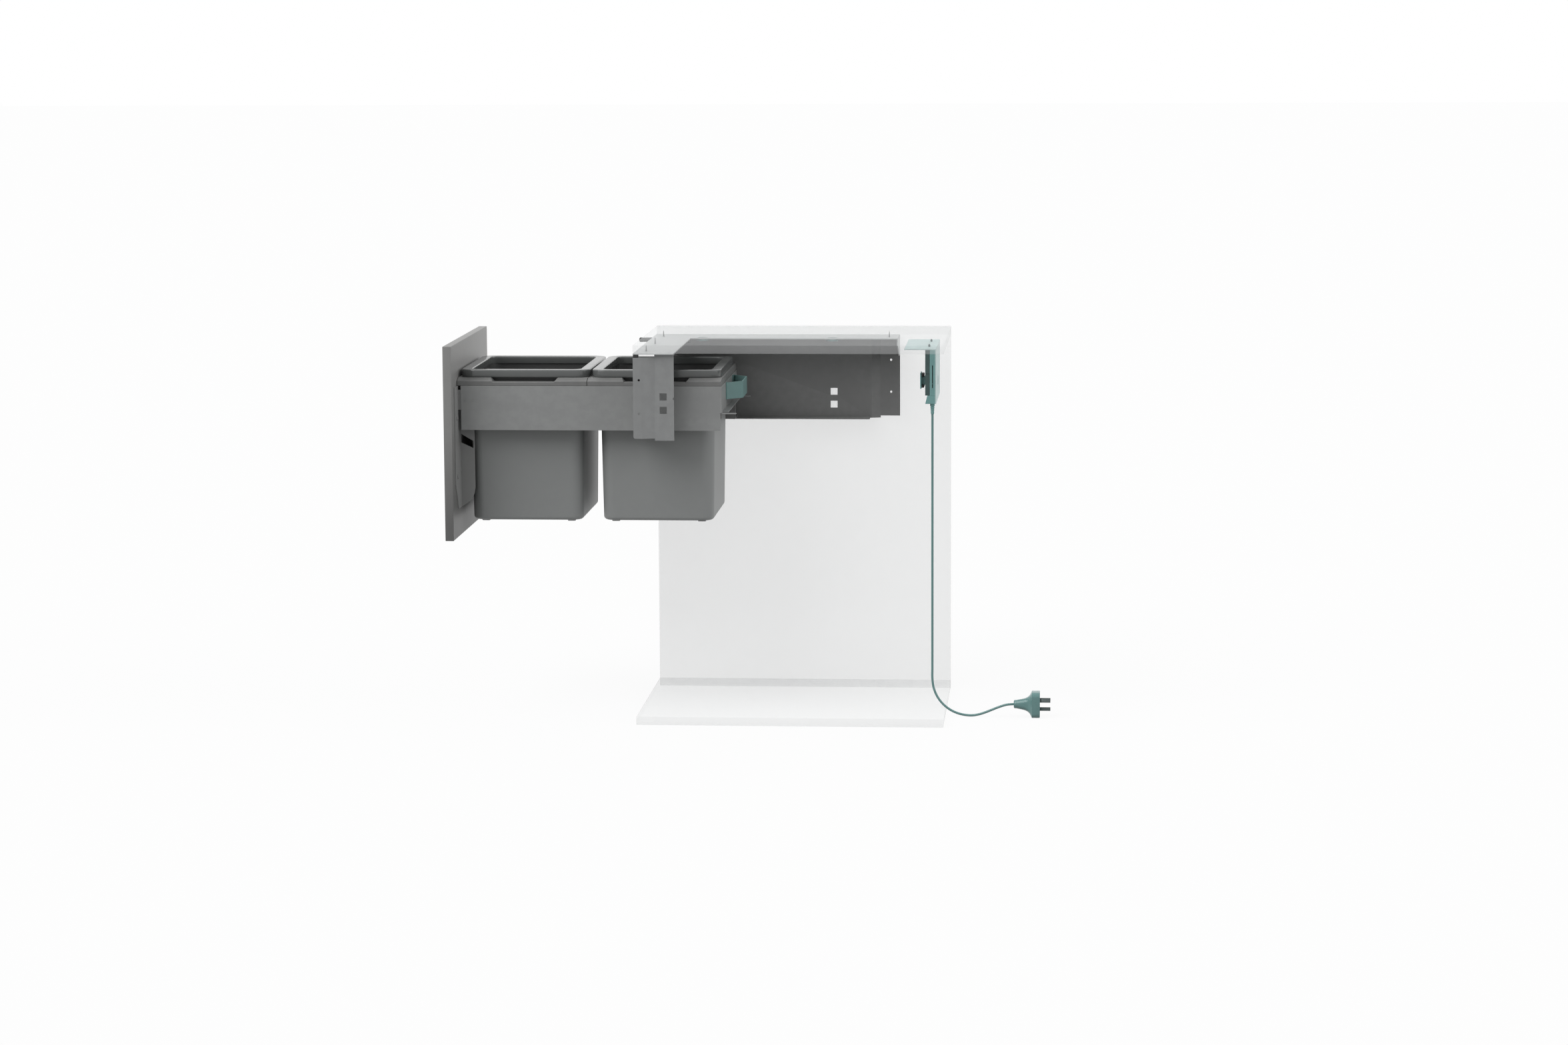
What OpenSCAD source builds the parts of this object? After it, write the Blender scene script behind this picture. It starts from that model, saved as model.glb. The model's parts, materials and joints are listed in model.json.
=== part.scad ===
// Pull-out waste cabinet with a steel top frame, two bins on a sliding frame
// behind a door front, and an electric opener hung from the top panel.
// Working frame: X from the front edge of the carcass to the rear, Y from the inner
// face of the near side, Z from the top of the bottom panel.  cab() moves it all to
// the centre of the object's own footprint, with Z zero under the bottom panel.

/* [Carcass] */
// Depth of the carcass
carcass_d = 580; // [560:1:640]
// Clear width between the carcass sides
clear_w = 418; // [410:1:468]
// Clear height between the bottom and the top panel
clear_h = 688; // [680:1:760]
// Thickness of the carcass panels
panel_t = 16; // [15:1:22]

/* [Door front] */
// Height of the door
door_h = 367; // [340:1:420]
// Thickness of the door
door_t = 16; // [12:1:22]
// How far the door covers each carcass side
door_overlay = 14; // [8:0.5:15]
// How far the door's top edge lies below the top of the carcass
door_drop = 2.5; // [1:0.5:4]
// Distance from the carcass to the door while pulled out
drawer_pull = 340; // [330:1:342]

/* [Top frame] */
// Length of the far side plate and its strip
frame_l = 480; // [470:1:500]
// Height of the side plates
frame_h = 164; // [160:1:170]
// Thickness of the frame sheet
frame_t = 2; // [1.5:0.1:2.2]
// Length of the near leg and of the front bridge
leg_l = 76; // [72:1:84]
// Width of the far strip
strip_w = 90; // [80:1:100]
// Width of the flange along the lower edge
flange_w = 28; // [24:1:32]

/* [Sliding frame] */
// Gap between a carcass side and the sliding frame
side_gap = 45; // [44:0.5:47]
// Length of the sliding frame behind the door
drawer_l = 502; // [500:0.5:504]
// Height of the steel sides
side_h = 84; // [80:1:88]
// Thickness of the sliding frame's sheet
sheet_t = 1.5; // [1.2:0.1:1.8]

/* [Bins] */
// Length of a bin rim, along the cabinet's depth
rim_l = 245; // [242:0.5:246]
// How far a bin rim lies inside each side of the sliding frame
rim_side = 18; // [16:0.5:22]
// Height of a bin rim
rim_h = 14.5; // [12:0.5:16]
// Wall of a bin
bin_wall = 2.5; // [2:0.1:3]
// Depth of a bin below its rim
bin_depth = 274; // [260:1:280]

/* [Opener] */
// Width of the opener
unit_w = 204; // [190:1:208]
// Depth of the opener's housing
unit_d = 18.5; // [18.2:0.1:19]
// How far the pusher stands out while it rests
pusher_reach = 13; // [11:0.5:13.5]

/* [Hidden] */
$fn = 48;
// Colours
ghost = [0.93, 0.94, 0.94, 0.5];
steel_dark = [0.30, 0.30, 0.30];
steel_mid = [0.47, 0.47, 0.47];
steel_side = [0.49, 0.49, 0.49];
plastic_grey = [0.42, 0.42, 0.41];
board_green = [0.12, 0.35, 0.24];
bin_grey = [0.43, 0.44, 0.43];
rim_grey = [0.55, 0.57, 0.56];
door_grey = [0.50, 0.49, 0.47];
nylon_dark = [0.14, 0.14, 0.14];
teal = [0.34, 0.52, 0.51];
teal_pale = [0.62, 0.74, 0.73];
zinc = [0.62, 0.63, 0.63];
// Overrun of a cut past its face, and the air between parts that don't touch
over = 1;
air = 0.3;
fit_air = 0.1;
// Row origin in working coordinates
row_x = (carcass_d - drawer_pull - door_t) / 2;
row_y = (clear_w + panel_t - door_overlay) / 2;
mid_y = clear_w / 2;
top_z = clear_h;
// Panel joints
dowel_r = 4;
dowel_half = 15;
dowel_inset = 60;
dowel_air = 0.1;
// Screws through the frame's top plate, seen in the clear panel
screw_r = 2;
screw_head_r = 4;
screw_head_h = 2.4;
screw_bite = 12;
screw_tip = 3;
screw_tip_r = 0.5;
front_screw_x = 20;
screw_near_y = 51;
screw_mid_y = 205;
screw_far_inset = 58;
rear_screw_inset = 18;
rear_screw_far_inset = 61;
// Frame details
tab_l = 18;
joggle_l = 22;
web_step = 6;
tab_top_drop = 8;
tab_rise = 4;
tab_r = 4;
rear_tab_l = 38;
rear_joggle_l = 17;
flange_end = 58;
leg_flange_end = 4;
lip_w = 18;
leg_hole_r = 2.25;
leg_hole_x = 11;
leg_hole_drop = 50;
leg_hole_pitch = 63;
rear_hole_inset = 17.5;
square_w = 13.5;
leg_square_x = 55.8;
leg_square_drop = 81.7;
far_square_inset = 129.6;
far_square_drop = 112;
square_pitch = 25.3;
notch_r = 2;
notch_drop = 85.4;
gusset_drop = 40;
gusset_lip = 14;
gusset_run = 66;
rivet_r = 2;
rivet_head_r = 3.5;
rivet_head_h = 1;
leg_rivets = [50, 66];
far_rivet_shares = [0.125, 0.333, 0.542, 0.75];
far_rivets = far_rivet_shares * frame_l;
cap_r = 12;
cap_hole_r = 10;
cap_lip_t = 1.5;
cap_inset = 14;
cap_drop = 4;
cap_front_x = 98.7;
cap_rear_inset = 128;
cap_xs = [cap_front_x, frame_l - cap_rear_inset];
edge_buffer_l = 10;
edge_buffer_w = 9;
// Front buffer, pressed by the closing door
buffer_r = 4.5;
buffer_out = 31;
buffer_in = 34;
sleeve_w = 13;
sleeve_h = 13;
sleeve_x = 2;
sleeve_l = 68;
sleeve_far_inset = 34;
sleeve_drop = 6.5;
sleeve_end = 2.5;
// Heights of the sliding frame, from the underside of the top panel
side_top_drop = 65.5;
side_top = top_z - side_top_drop;
side_bottom = side_top - side_h;
// Guides on the lower flange, and the rails that run on them
guide_t = 3;
guide_x = 2;
guide_near_l = 67;
guide_far_l = 158;
stem_t = 3;
head_w = 14;
head_h = 6.5;
rail_w = 18;
rail_h = 12;
rail_top_drop = 51;
rail_top = side_top - rail_top_drop;
rail_lip = 4.5;
rail_front_gap = 45;
rail_tail = 27;
tail_w = 8;
rail_y0 = side_gap + sheet_t;
rail_mid = rail_y0 + rail_w / 2;
plate_y0 = frame_t + web_step + fit_air;
// Sliding frame details
door_x = -drawer_pull;
side_front_gap = 8;
side_end_gap = 2.5;
side_front = door_x + side_front_gap;
rail_front = door_x + rail_front_gap;
rear_x = door_x + drawer_l;
top_lip = 27;
inner_wall_h = 36;
rear_corner_r = 1.7;
rear_return = 3.5;
rear_flange = 11.5;
rear_flange_inset = 15;
bar_w = 14;
bar_h = 15;
bar_t = 1.5;
foot_lip = 4;
// Plastic bin frames on top of the steel
cap_face_h = 9;
cap_slope_h = 5;
cap_top = side_top + cap_face_h + cap_slope_h;
cap_slope_w = 18;
frame_split = 247.4;
split_gap = 0.6;
cap_front_gap = 0.5;
cap_front = door_x + cap_front_gap;
cap_gap = 1;
open_air = 2;
finger_l = 116;
finger_slope = 6;
finger_depth = 7.2;
hollow_in = 3;
hollow_w = 22;
hollow_h = 6;
// Bins
rim_strip = 15.5;
rim_corner = 26;
rim_edge = 5;
rim_skirt = 14;
rim_round_shares = [0, 0.5, 0.8, 0.95, 1];
disc_t = 0.2;
slice_t = 1.5;
rim_w = clear_w - 2 * (side_gap + rim_side);
bin_gap = 4;
rim_front_gap = 4.5;
front_bin_x = door_x + rim_front_gap + rim_l / 2;
rear_bin_x = front_bin_x + rim_l + bin_gap;
neck_h = 72;
neck_air = 1;
body_l = rim_l - 2 * rim_strip + 2 * bin_wall;
body_w = rim_w - 2 * rim_strip + 2 * bin_wall;
base_in = 4;
bin_corner = 24;
bin_floor_t = 3;
lip_t = 2.5;
foot_l = 15;
foot_w = 12;
foot_h = 3;
foot_inset = 16;
rib_h = 1.2;
// Door brackets
base_t = 2.5;
base_y = 12;
base_w = 62;
base_low = 149.5;
foot_y = 42;
foot_cut = 48;
base_top_gap = 0.5;
rib_l = 29;
rib_cut = 36.5;
rib_curve_shares = [[0.48, 0.2], [0.76, 0.4], [0.93, 0.68]];
rib_top = 3;
window_in = 3.3;
window_l = 23;
window_drop = 7.5;
window_fall = 13.5;
window_h = 16.4;
window_end_h = 13.6;
tongue_l = 36;
tongue_drop = 8;
tongue_h = 38;
door_screw_r = 2;
door_screw_head_r = 4;
door_screw_head_h = 2;
door_screw_len = 11;
door_screw_y = 30;
door_screw_low = 62;
door_screw_high = 60;
side_screw_r = 2;
side_screw_head_r = 3.5;
side_screw_head_h = 1.5;
side_screw_x = 16;
side_screw_step = 14;
// Push bracket at the rear of the sliding frame
push_d = 30;
push_face_w = 90;
push_base_w = 155;
push_h = 32;
push_t = 2;
push_drop = 1.5;
push_foot = 16;
push_screw_r = 2;
push_screw_head_r = 3.5;
push_screw_head_h = 1.5;
push_screw_in = 9;
// Opener
unit_rear_gap = 18;
unit_plate_t = 2;
unit_top_d = 60;
unit_rear_x = carcass_d - unit_rear_gap;
unit_back = unit_rear_x - unit_plate_t;
unit_front = unit_back - unit_d;
unit_y0 = mid_y - unit_w / 2;
unit_y1 = mid_y + unit_w / 2;
unit_roof = top_z - unit_plate_t;
cover_d = 8.2;
cover_h = 86;
unit_wall = 2;
inlet_h = 16;
inlet_w = 44;
inlet_slope = 4;
unit_h = cover_h + inlet_h;
unit_screw_x = 14.5;
unit_screw_off = 52.5;
slot_l = 11;
slot_w = 1.6;
slot_off = 4;
side_slot_w = 1.6;
side_slot_h = 43;
side_slot_drop = 29;
side_slot_in = 5.5;
pip_w = 2.2;
pip_step = 3.6;
pip_drop = 46;
pip_depth = 1;
// Pusher with its rack, and the pinion that moves it
arm_w = 16;
arm_h = 16;
arm_drop = 61;
arm_len = 27.5;
head_t = 2.5;
head_height = 30;
head_width = 34;
pad_t = 5;
pad_h = 5;
rack_module = 1;
rack_teeth = 7;
rack_lead = 1.5;
pinion_teeth = 12;
pressure = 20;
rack_up = 0.65;
rack_down = 1.1;
pinion_up = 0.9;
pinion_down = 1.15;
rack_slack = 0.2;
pinion_slack = 0.12;
pitch_r = rack_module * pinion_teeth / 2;
tooth_pitch = rack_module * PI;
arm_z0 = top_z - arm_drop - arm_h;
arm_y0 = mid_y - arm_w / 2;
head_x = unit_front - pusher_reach;
rack_line = arm_y0 + arm_w + rack_down;
pinion_in = 9.3;
pinion_x = unit_front + pinion_in;
pinion_y = rack_line + pitch_r;
pinion_h = 10;
pinion_z = arm_z0 + (arm_h - pinion_h) / 2;
shaft_r = 1.5;
shaft_air = 0.05;
shaft_low = 4;
shaft_high = 10;
shelf_hole_r = 3;
shelf_t = 4;
shelf_up = 4.5;
shelf_w = 18;
shelf_d = 11;
bearing_w = 10;
bearing_h = 6;
bearing_gap = 1;
motor_r = 6;
motor_l = 40;
motor_bore = 3;
window_air = 0.6;
board_w = 56;
board_h = 54;
board_t = 1.6;
board_y = 20;
board_z = 16;
chip_l = 12;
chip_pitch = 15.6;
chip_w = 9;
chip_t = 4;
power_w = 54;
power_h = 40;
power_d = 12;
power_y = 12;
power_z = 24;
// Cord in the row frame, at one Y: straight down from the gland, then along the bend,
// whose X counts from the gland, to the plug
cord_r = 2.25;
gland_l = 20;
gland_r1 = 4.5;
gland_r2 = 3;
gland_in = 7;
gland_side = 8;
gland_x = unit_rear_x - gland_in - row_x;
gland_z = unit_roof - unit_h + panel_t;
cord_y = unit_y0 + gland_side - row_y;
cord_sides = 12;
cord_steps = 2;
drop_parts = 15;
bend_z = 94;
cord_bend = [[0, 74], [2.5, 56], [9.5, 38.5], [21, 23.5], [36, 12], [53.5, 5], [72, 2.5],
    [87, 4.2], [101, 8.6], [114, 13.9], [127, 19.2], [141, 23.6], [155, 25]];
plug_run = 155;
plug_x = gland_x + plug_run;
plug_z = 25;
neck_r = 8;
neck_l = 5;
flare_l = 29.5;
flare_steps = 6;
flange_l = 15.3;
flange_h = 49;
flange_b = 38;
flange_r = 9;
blade_l = 20;
blade_h = 7;
blade_t = 1.6;
live_up = 8;
live_out = 7;
live_turn = 30;
earth_down = 9;

// Puts the working frame at the row's origin
module cab() {
    translate([-row_x, -row_y, panel_t]) children();
}

// A block between two corners
module block(a, b) {
    translate(a) cube(b - a);
}

// The mirror image at the far side
module far_side() {
    translate([0, clear_w, 0]) mirror([0, 1, 0]) children();
}

// A rectangle with round corners, centred
module round_rect(l, w, r) {
    square([l - 2 * r, w], center = true);
    square([l, w - 2 * r], center = true);
    for (sx = [-1, 1], sy = [-1, 1])
        translate([sx * (l / 2 - r), sy * (w / 2 - r)]) circle(r = r);
}

// A vertical prism drawn in X and Y between two heights
module prism_z(z0, z1) {
    translate([0, 0, z0]) linear_extrude(height = z1 - z0) children();
}

// A prism drawn in X and Z, standing between two places along Y
module prism_y(y0, y1) {
    translate([0, y1, 0]) rotate([90, 0, 0]) linear_extrude(height = y1 - y0) children();
}

// A prism drawn in Y and Z, lying between two places along X
module prism_x(x0, x1) {
    translate([x0, 0, 0]) rotate([90, 0, 90]) linear_extrude(height = x1 - x0) children();
}

function frame_screw_places() = [
    [front_screw_x, screw_near_y], [front_screw_x, screw_mid_y],
    [front_screw_x, clear_w - screw_far_inset],
    [frame_l - rear_screw_inset, clear_w - rear_screw_far_inset]];

function unit_screw_places() = [for (s = [-1, 1])
    [unit_rear_x - unit_screw_x, mid_y + s * unit_screw_off]];

function dowel_xs() = [dowel_inset, carcass_d / 2, carcass_d - dowel_inset];

function dowel_zs() = [-panel_t / 2, top_z + panel_t / 2];

// A screw from below into the top panel: head under the sheet, tip upwards
module panel_screw(x, y, seat_z) {
    translate([x, y, seat_z - screw_head_h]) cylinder(r = screw_head_r, h = screw_head_h);
    translate([x, y, seat_z - over])
        cylinder(r = screw_r, h = over + top_z - seat_z + screw_bite - screw_tip);
    translate([x, y, top_z + screw_bite - screw_tip])
        cylinder(r1 = screw_r, r2 = screw_tip_r, h = screw_tip);
}

// Holes for the dowels, along Y through the joint between side and panel
module dowel_holes(z) {
    for (x = dowel_xs())
        translate([x, clear_w, z]) rotate([90, 0, 0])
            cylinder(r = dowel_r + dowel_air, h = 2 * (dowel_half + dowel_air), center = true);
}

module top_panel() {
    color(ghost) cab() difference() {
        block([0, 0, top_z], [carcass_d, clear_w, top_z + panel_t]);
        for (p = concat(frame_screw_places(), unit_screw_places()))
            translate([p[0], p[1], top_z - over])
                cylinder(r = screw_r + fit_air, h = over + screw_bite + fit_air);
        dowel_holes(top_z + panel_t / 2);
    }
}

module side_panel() {
    color(ghost) cab() difference() {
        block([0, clear_w, -panel_t], [carcass_d, clear_w + panel_t, top_z + panel_t]);
        for (z = dowel_zs()) dowel_holes(z);
    }
}

module bottom_panel() {
    color(ghost) cab() difference() {
        block([0, 0, -panel_t], [carcass_d, clear_w, 0]);
        dowel_holes(-panel_t / 2);
    }
}

module panel_dowels() {
    color(ghost) cab()
        for (x = dowel_xs(), z = dowel_zs())
            translate([x, clear_w, z]) rotate([90, 0, 0])
                cylinder(r = dowel_r, h = 2 * dowel_half, center = true);
}

// L-shaped top plate: front bridge, far strip and the gusset folded down at its end
module frame_top() {
    color(steel_mid) cab() difference() {
        union() {
            block([0, 0, top_z - frame_t], [leg_l, clear_w, top_z]);
            block([0, clear_w - strip_w, top_z - frame_t], [frame_l, clear_w, top_z]);
            prism_x(frame_l - frame_t, frame_l)
                polygon([[clear_w - strip_w, top_z], [clear_w - strip_w, top_z - gusset_lip],
                    [clear_w - strip_w + gusset_run, top_z - gusset_drop],
                    [clear_w - frame_t - fit_air, top_z - gusset_drop],
                    [clear_w - frame_t - fit_air, top_z]]);
        }
        for (p = frame_screw_places())
            translate([p[0], p[1], top_z - frame_t - over])
                cylinder(r = screw_r + fit_air, h = frame_t + 2 * over);
        for (x = leg_rivets) rivet_hole(x, plate_y0 + lip_w / 2);
        for (x = far_rivets) rivet_hole(x, clear_w - plate_y0 - lip_w / 2);
        for (x = cap_xs)
            translate([x, clear_w - strip_w + cap_inset, top_z - frame_t - over])
                cylinder(r = cap_hole_r, h = frame_t + 2 * over);
    }
}

module rivet_hole(x, y) {
    translate([x, y, top_z - 2 * frame_t - over])
        cylinder(r = rivet_r + fit_air, h = 2 * frame_t + 2 * over);
}

// Plan line of a side plate: screw tab at the wall, joggle, then the stepped-in web
module plate_plan(l, tail) {
    step = web_step;
    t = frame_t;
    tail_x = l - rear_tab_l - rear_joggle_l;
    front = [[0, 0], [tab_l, 0], [tab_l + joggle_l, step]];
    back = [[tab_l + joggle_l, step + t], [tab_l, t], [0, t]];
    middle = tail ? [[tail_x, step], [tail_x + rear_joggle_l, 0], [l, 0], [l, t],
        [tail_x + rear_joggle_l, t], [tail_x, step + t]] : [[l, step], [l, step + t]];
    polygon(concat(front, middle, back));
}

// A side plate from the top plate down, with its low and short screw tabs
module side_plate(l, tail) {
    z0 = top_z - frame_h;
    z1 = top_z - frame_t;
    tail_x = l - rear_tab_l;
    low_x = tab_l + joggle_l;
    low_y = web_step + frame_t + over;
    difference() {
        prism_z(z0, z1) plate_plan(l, tail);
        block([-over, -over, z1 + frame_t - tab_top_drop], [low_x, low_y, z1 + over]);
        block([-over, -over, z0 - over], [low_x, low_y, z0 + tab_rise]);
        translate([0, 0, z0 + tab_rise]) prism_y(-over, frame_t + over) difference() {
            translate([-over, -over]) square([tab_r + over, tab_r + over]);
            translate([tab_r, tab_r]) circle(r = tab_r);
        }
        for (i = [0, 1])
            translate([leg_hole_x, 0, top_z - leg_hole_drop - i * leg_hole_pitch])
                rotate([90, 0, 0])
                    cylinder(r = leg_hole_r, h = 2 * (frame_t + over), center = true);
        if (tail) for (i = [0, 1])
            translate([l - rear_hole_inset, 0, top_z - leg_hole_drop - i * leg_hole_pitch])
                rotate([90, 0, 0])
                    cylinder(r = leg_hole_r, h = 2 * (frame_t + over), center = true);
        if (tail) block([tail_x, -over, z0 - over], [l + over, frame_t + over, z0 + tab_rise]);
    }
}

// Square openings in the web, one under the other
module square_holes(x, drop) {
    for (i = [0, 1])
        translate([x - square_w / 2, 0, top_z - drop - square_w / 2 - i * square_pitch])
            cube([square_w, web_step + frame_t + over, square_w]);
}

// The lip under the top plate and the flange along the lower edge, both turned inwards
module plate_folds(x1, low_x1) {
    y0 = frame_t + web_step - air;
    x0 = tab_l + joggle_l;
    block([x0, y0, top_z - 2 * frame_t], [x1, plate_y0 + lip_w, top_z - frame_t]);
    block([x0, y0, top_z - frame_h], [low_x1, plate_y0 + flange_w, top_z - frame_h + frame_t]);
}

module near_leg() {
    color(steel_mid) cab() difference() {
        union() {
            side_plate(leg_l, false);
            plate_folds(leg_l, leg_l - leg_flange_end);
        }
        square_holes(leg_square_x, leg_square_drop);
        translate([leg_l, 0, top_z - notch_drop]) rotate([90, 0, 0])
            cylinder(r = notch_r, h = 2 * (frame_t + web_step + over), center = true);
        for (x = leg_rivets) rivet_hole(x, plate_y0 + lip_w / 2);
    }
}

module far_side_plate() {
    color(steel_dark) cab() far_side() difference() {
        union() {
            side_plate(frame_l, true);
            plate_folds(frame_l - flange_end, frame_l - flange_end);
        }
        square_holes(frame_l - far_square_inset, far_square_drop);
        for (x = far_rivets) rivet_hole(x, plate_y0 + lip_w / 2);
    }
}

// One rivet: flush above, round head under the lip
module rivet(x, y) {
    z0 = top_z - 2 * frame_t;
    translate([x, y, z0]) cylinder(r = rivet_r, h = top_z - z0);
    translate([x, y, z0 - rivet_head_h]) cylinder(r = rivet_head_r, h = rivet_head_h);
}

module frame_rivets() {
    color(zinc) cab() {
        for (x = leg_rivets) rivet(x, plate_y0 + lip_w / 2);
        for (x = far_rivets) rivet(x, clear_w - plate_y0 - lip_w / 2);
    }
}

module frame_screws() {
    color(zinc) cab()
        for (p = frame_screw_places()) panel_screw(p[0], p[1], top_z - frame_t);
}

// Round caps pushed up into the strip, lip below
module strip_caps() {
    color(teal) cab()
        for (x = cap_xs) translate([x, clear_w - strip_w + cap_inset, 0]) {
            translate([0, 0, top_z - frame_t - cap_lip_t]) cylinder(r = cap_r, h = cap_lip_t);
            translate([0, 0, top_z - frame_t - cap_drop])
                cylinder(r = cap_hole_r - 2 * fit_air, h = frame_t + cap_drop - fit_air);
        }
}

module edge_buffer() {
    color(nylon_dark) cab()
        block([0, frame_t, top_z - tab_top_drop],
            [edge_buffer_l, frame_t + edge_buffer_w, top_z - frame_t]);
}

function buffer_y() = clear_w - sleeve_far_inset;

function buffer_z() = top_z - frame_t - sleeve_drop;

module buffer_sleeve() {
    z1 = top_z - frame_t;
    color(nylon_dark) cab() difference() {
        block([sleeve_x, buffer_y() - sleeve_w / 2, z1 - sleeve_h],
            [sleeve_x + sleeve_l, buffer_y() + sleeve_w / 2, z1]);
        translate([sleeve_x - over, buffer_y(), buffer_z()]) rotate([0, 90, 0])
            cylinder(r = buffer_r + fit_air / 2, h = sleeve_l - sleeve_end + over);
    }
}

module buffer_plunger() {
    color(nylon_dark) cab() translate([-buffer_out, buffer_y(), buffer_z()])
        rotate([0, 90, 0]) cylinder(r = buffer_r, h = buffer_out + buffer_in);
}

// A guide: foot plate on the flange, stem up into the hollow steel side
module guide(l) {
    z0 = top_z - frame_h + frame_t;
    z1 = rail_top - sheet_t - air - head_h;
    x0 = max(guide_x, tab_l + joggle_l);
    block([x0, plate_y0, z0], [guide_x + l, rail_mid + stem_t / 2, z0 + guide_t]);
    block([guide_x, plate_y0 + flange_w / 2, z0],
        [guide_x + l, rail_mid + stem_t / 2, z0 + guide_t]);
    block([guide_x, rail_mid - stem_t / 2, z0],
        [guide_x + l, rail_mid + stem_t / 2, z1 + head_h / 2]);
}

// Nylon head on the stem, which the rail runs on
module glide(l) {
    z1 = rail_top - sheet_t - air;
    z0 = z1 - head_h;
    difference() {
        block([guide_x, rail_mid - head_w / 2, z0], [guide_x + l, rail_mid + head_w / 2, z1]);
        block([guide_x - over, rail_mid - stem_t / 2, z0 - over],
            [guide_x + l + over, rail_mid + stem_t / 2, z0 + head_h / 2]);
    }
}

module guide_near() {
    color(steel_mid) cab() guide(guide_near_l);
}

module guide_far() {
    color(steel_dark) cab() far_side() guide(guide_far_l);
}

module glide_near() {
    color(nylon_dark) cab() glide(guide_near_l);
}

module glide_far() {
    color(nylon_dark) cab() far_side() glide(guide_far_l);
}

// C-shaped rail, open below round the guide's stem, with a flat tail at the rear
module rail() {
    block([rail_front, rail_y0, rail_top - sheet_t], [rear_x + rail_tail, rail_y0 + tail_w, rail_top]);
    prism_x(rail_front, rear_x - side_end_gap) difference() {
        translate([rail_y0, rail_top - rail_h]) square([rail_w, rail_h]);
        translate([rail_y0 + sheet_t, rail_top - rail_h + sheet_t])
            square([rail_w - 2 * sheet_t, rail_h - 2 * sheet_t]);
        translate([rail_y0 + rail_lip, rail_top - rail_h - over])
            square([rail_w - 2 * rail_lip, sheet_t + 2 * over]);
    }
}

module rail_near() {
    color(steel_mid) cab() rail();
}

module rail_far() {
    color(steel_mid) cab() far_side() rail();
}

// Hollow steel side, open below: outer wall, top, short inner wall and a foot lip
module drawer_side() {
    y0 = side_gap;
    y1 = side_gap + top_lip;
    x1 = rear_x - rear_return;
    x2 = rear_x - side_end_gap;
    block([side_front, y0, side_bottom], [x1, y0 + sheet_t, side_top]);
    block([side_front, y0, side_bottom], [x2, y0 + sheet_t, rail_top - air]);
    block([side_front, y0, side_top - sheet_t], [x1, y1, side_top]);
    block([side_front, y1 - sheet_t, side_top - inner_wall_h], [x1, y1, side_top]);
    block([side_front, y0, side_bottom], [x2, y0 + foot_lip, side_bottom + sheet_t]);
}

module drawer_side_near() {
    color(steel_side) cab() difference() {
        drawer_side();
        side_screw_cuts();
    }
}

module drawer_side_far() {
    color(steel_side) cab() far_side() difference() {
        drawer_side();
        side_screw_cuts();
    }
}

// Rear panel with round corners that turn forward to the sides, and a flange below
module rear_panel() {
    w = clear_w - 2 * side_gap;
    y0 = side_gap + rear_flange_inset;
    color(steel_side) cab() {
        difference() {
            prism_z(rail_top + air, side_top) difference() {
                translate([rear_x - rear_return, side_gap]) rear_outline(w, 0, 0);
                translate([rear_x - rear_return, side_gap]) rear_outline(w, sheet_t, over);
            }
            push_screw_cuts();
        }
        block([rear_x - sheet_t, y0, rail_top + air],
            [rear_x + rear_flange, clear_w - y0, rail_top + air + sheet_t]);
    }
}

// Plan of the rear panel, from a place before its returns to its outer face, drawn in
// by a wall
module rear_outline(w, inset, front) {
    r = rear_corner_r - inset;
    d = rear_return - inset;
    translate([0, inset]) {
        translate([-front, 0]) square([front + d - r, w - 2 * inset]);
        translate([0, r]) square([d, w - 2 * inset - 2 * r]);
        translate([d - r, r]) circle(r = r);
        translate([d - r, w - 2 * inset - r]) circle(r = r);
    }
}

// Channel across the frame between the two bins
module cross_bar() {
    x0 = (front_bin_x + rear_bin_x - bar_w) / 2;
    y0 = side_gap + top_lip;
    color(steel_side) cab() prism_y(y0, clear_w - y0) difference() {
        translate([x0, side_top - bar_h]) square([bar_w, bar_h]);
        translate([x0 + bar_t, side_top - bar_h - over])
            square([bar_w - 2 * bar_t, bar_h - bar_t + over]);
    }
}

// Plastic frame that one bin hangs in, with finger notches beside the rim
module bin_frame(x0, x1, bin_x) {
    y0 = side_gap;
    y1 = clear_w - side_gap;
    difference() {
        prism_x(x0, x1) polygon([[y0, side_top], [y0, side_top + cap_face_h],
            [y0 + cap_slope_w, cap_top], [y1 - cap_slope_w, cap_top],
            [y1, side_top + cap_face_h], [y1, side_top]]);
        translate([bin_x, mid_y]) prism_z(side_top - over, cap_top + over)
            round_rect(body_l + 2 * open_air, body_w + 2 * open_air, bin_corner + open_air);
        prism_y(y0 - over, y1 + over)
            polygon([[bin_x - finger_l / 2, cap_top - finger_depth],
                [bin_x + finger_l / 2, cap_top - finger_depth],
                [bin_x + finger_l / 2 + finger_slope, cap_top + over],
                [bin_x - finger_l / 2 - finger_slope, cap_top + over]]);
        for (y = [y0 + hollow_in, y1 - hollow_in - hollow_w])
            block([x0 + hollow_in, y, side_top - over],
                [x1 - hollow_in, y + hollow_w, side_top + hollow_h]);
    }
}

module bin_frame_front() {
    color(plastic_grey) cab() bin_frame(cap_front, door_x + frame_split, front_bin_x);
}

module bin_frame_rear() {
    color(plastic_grey) cab()
        bin_frame(door_x + frame_split + split_gap, rear_x - cap_gap, rear_bin_x);
}

function door_low() = top_z + panel_t - door_drop - door_h;

function base_z0() = side_bottom - base_low;

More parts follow.
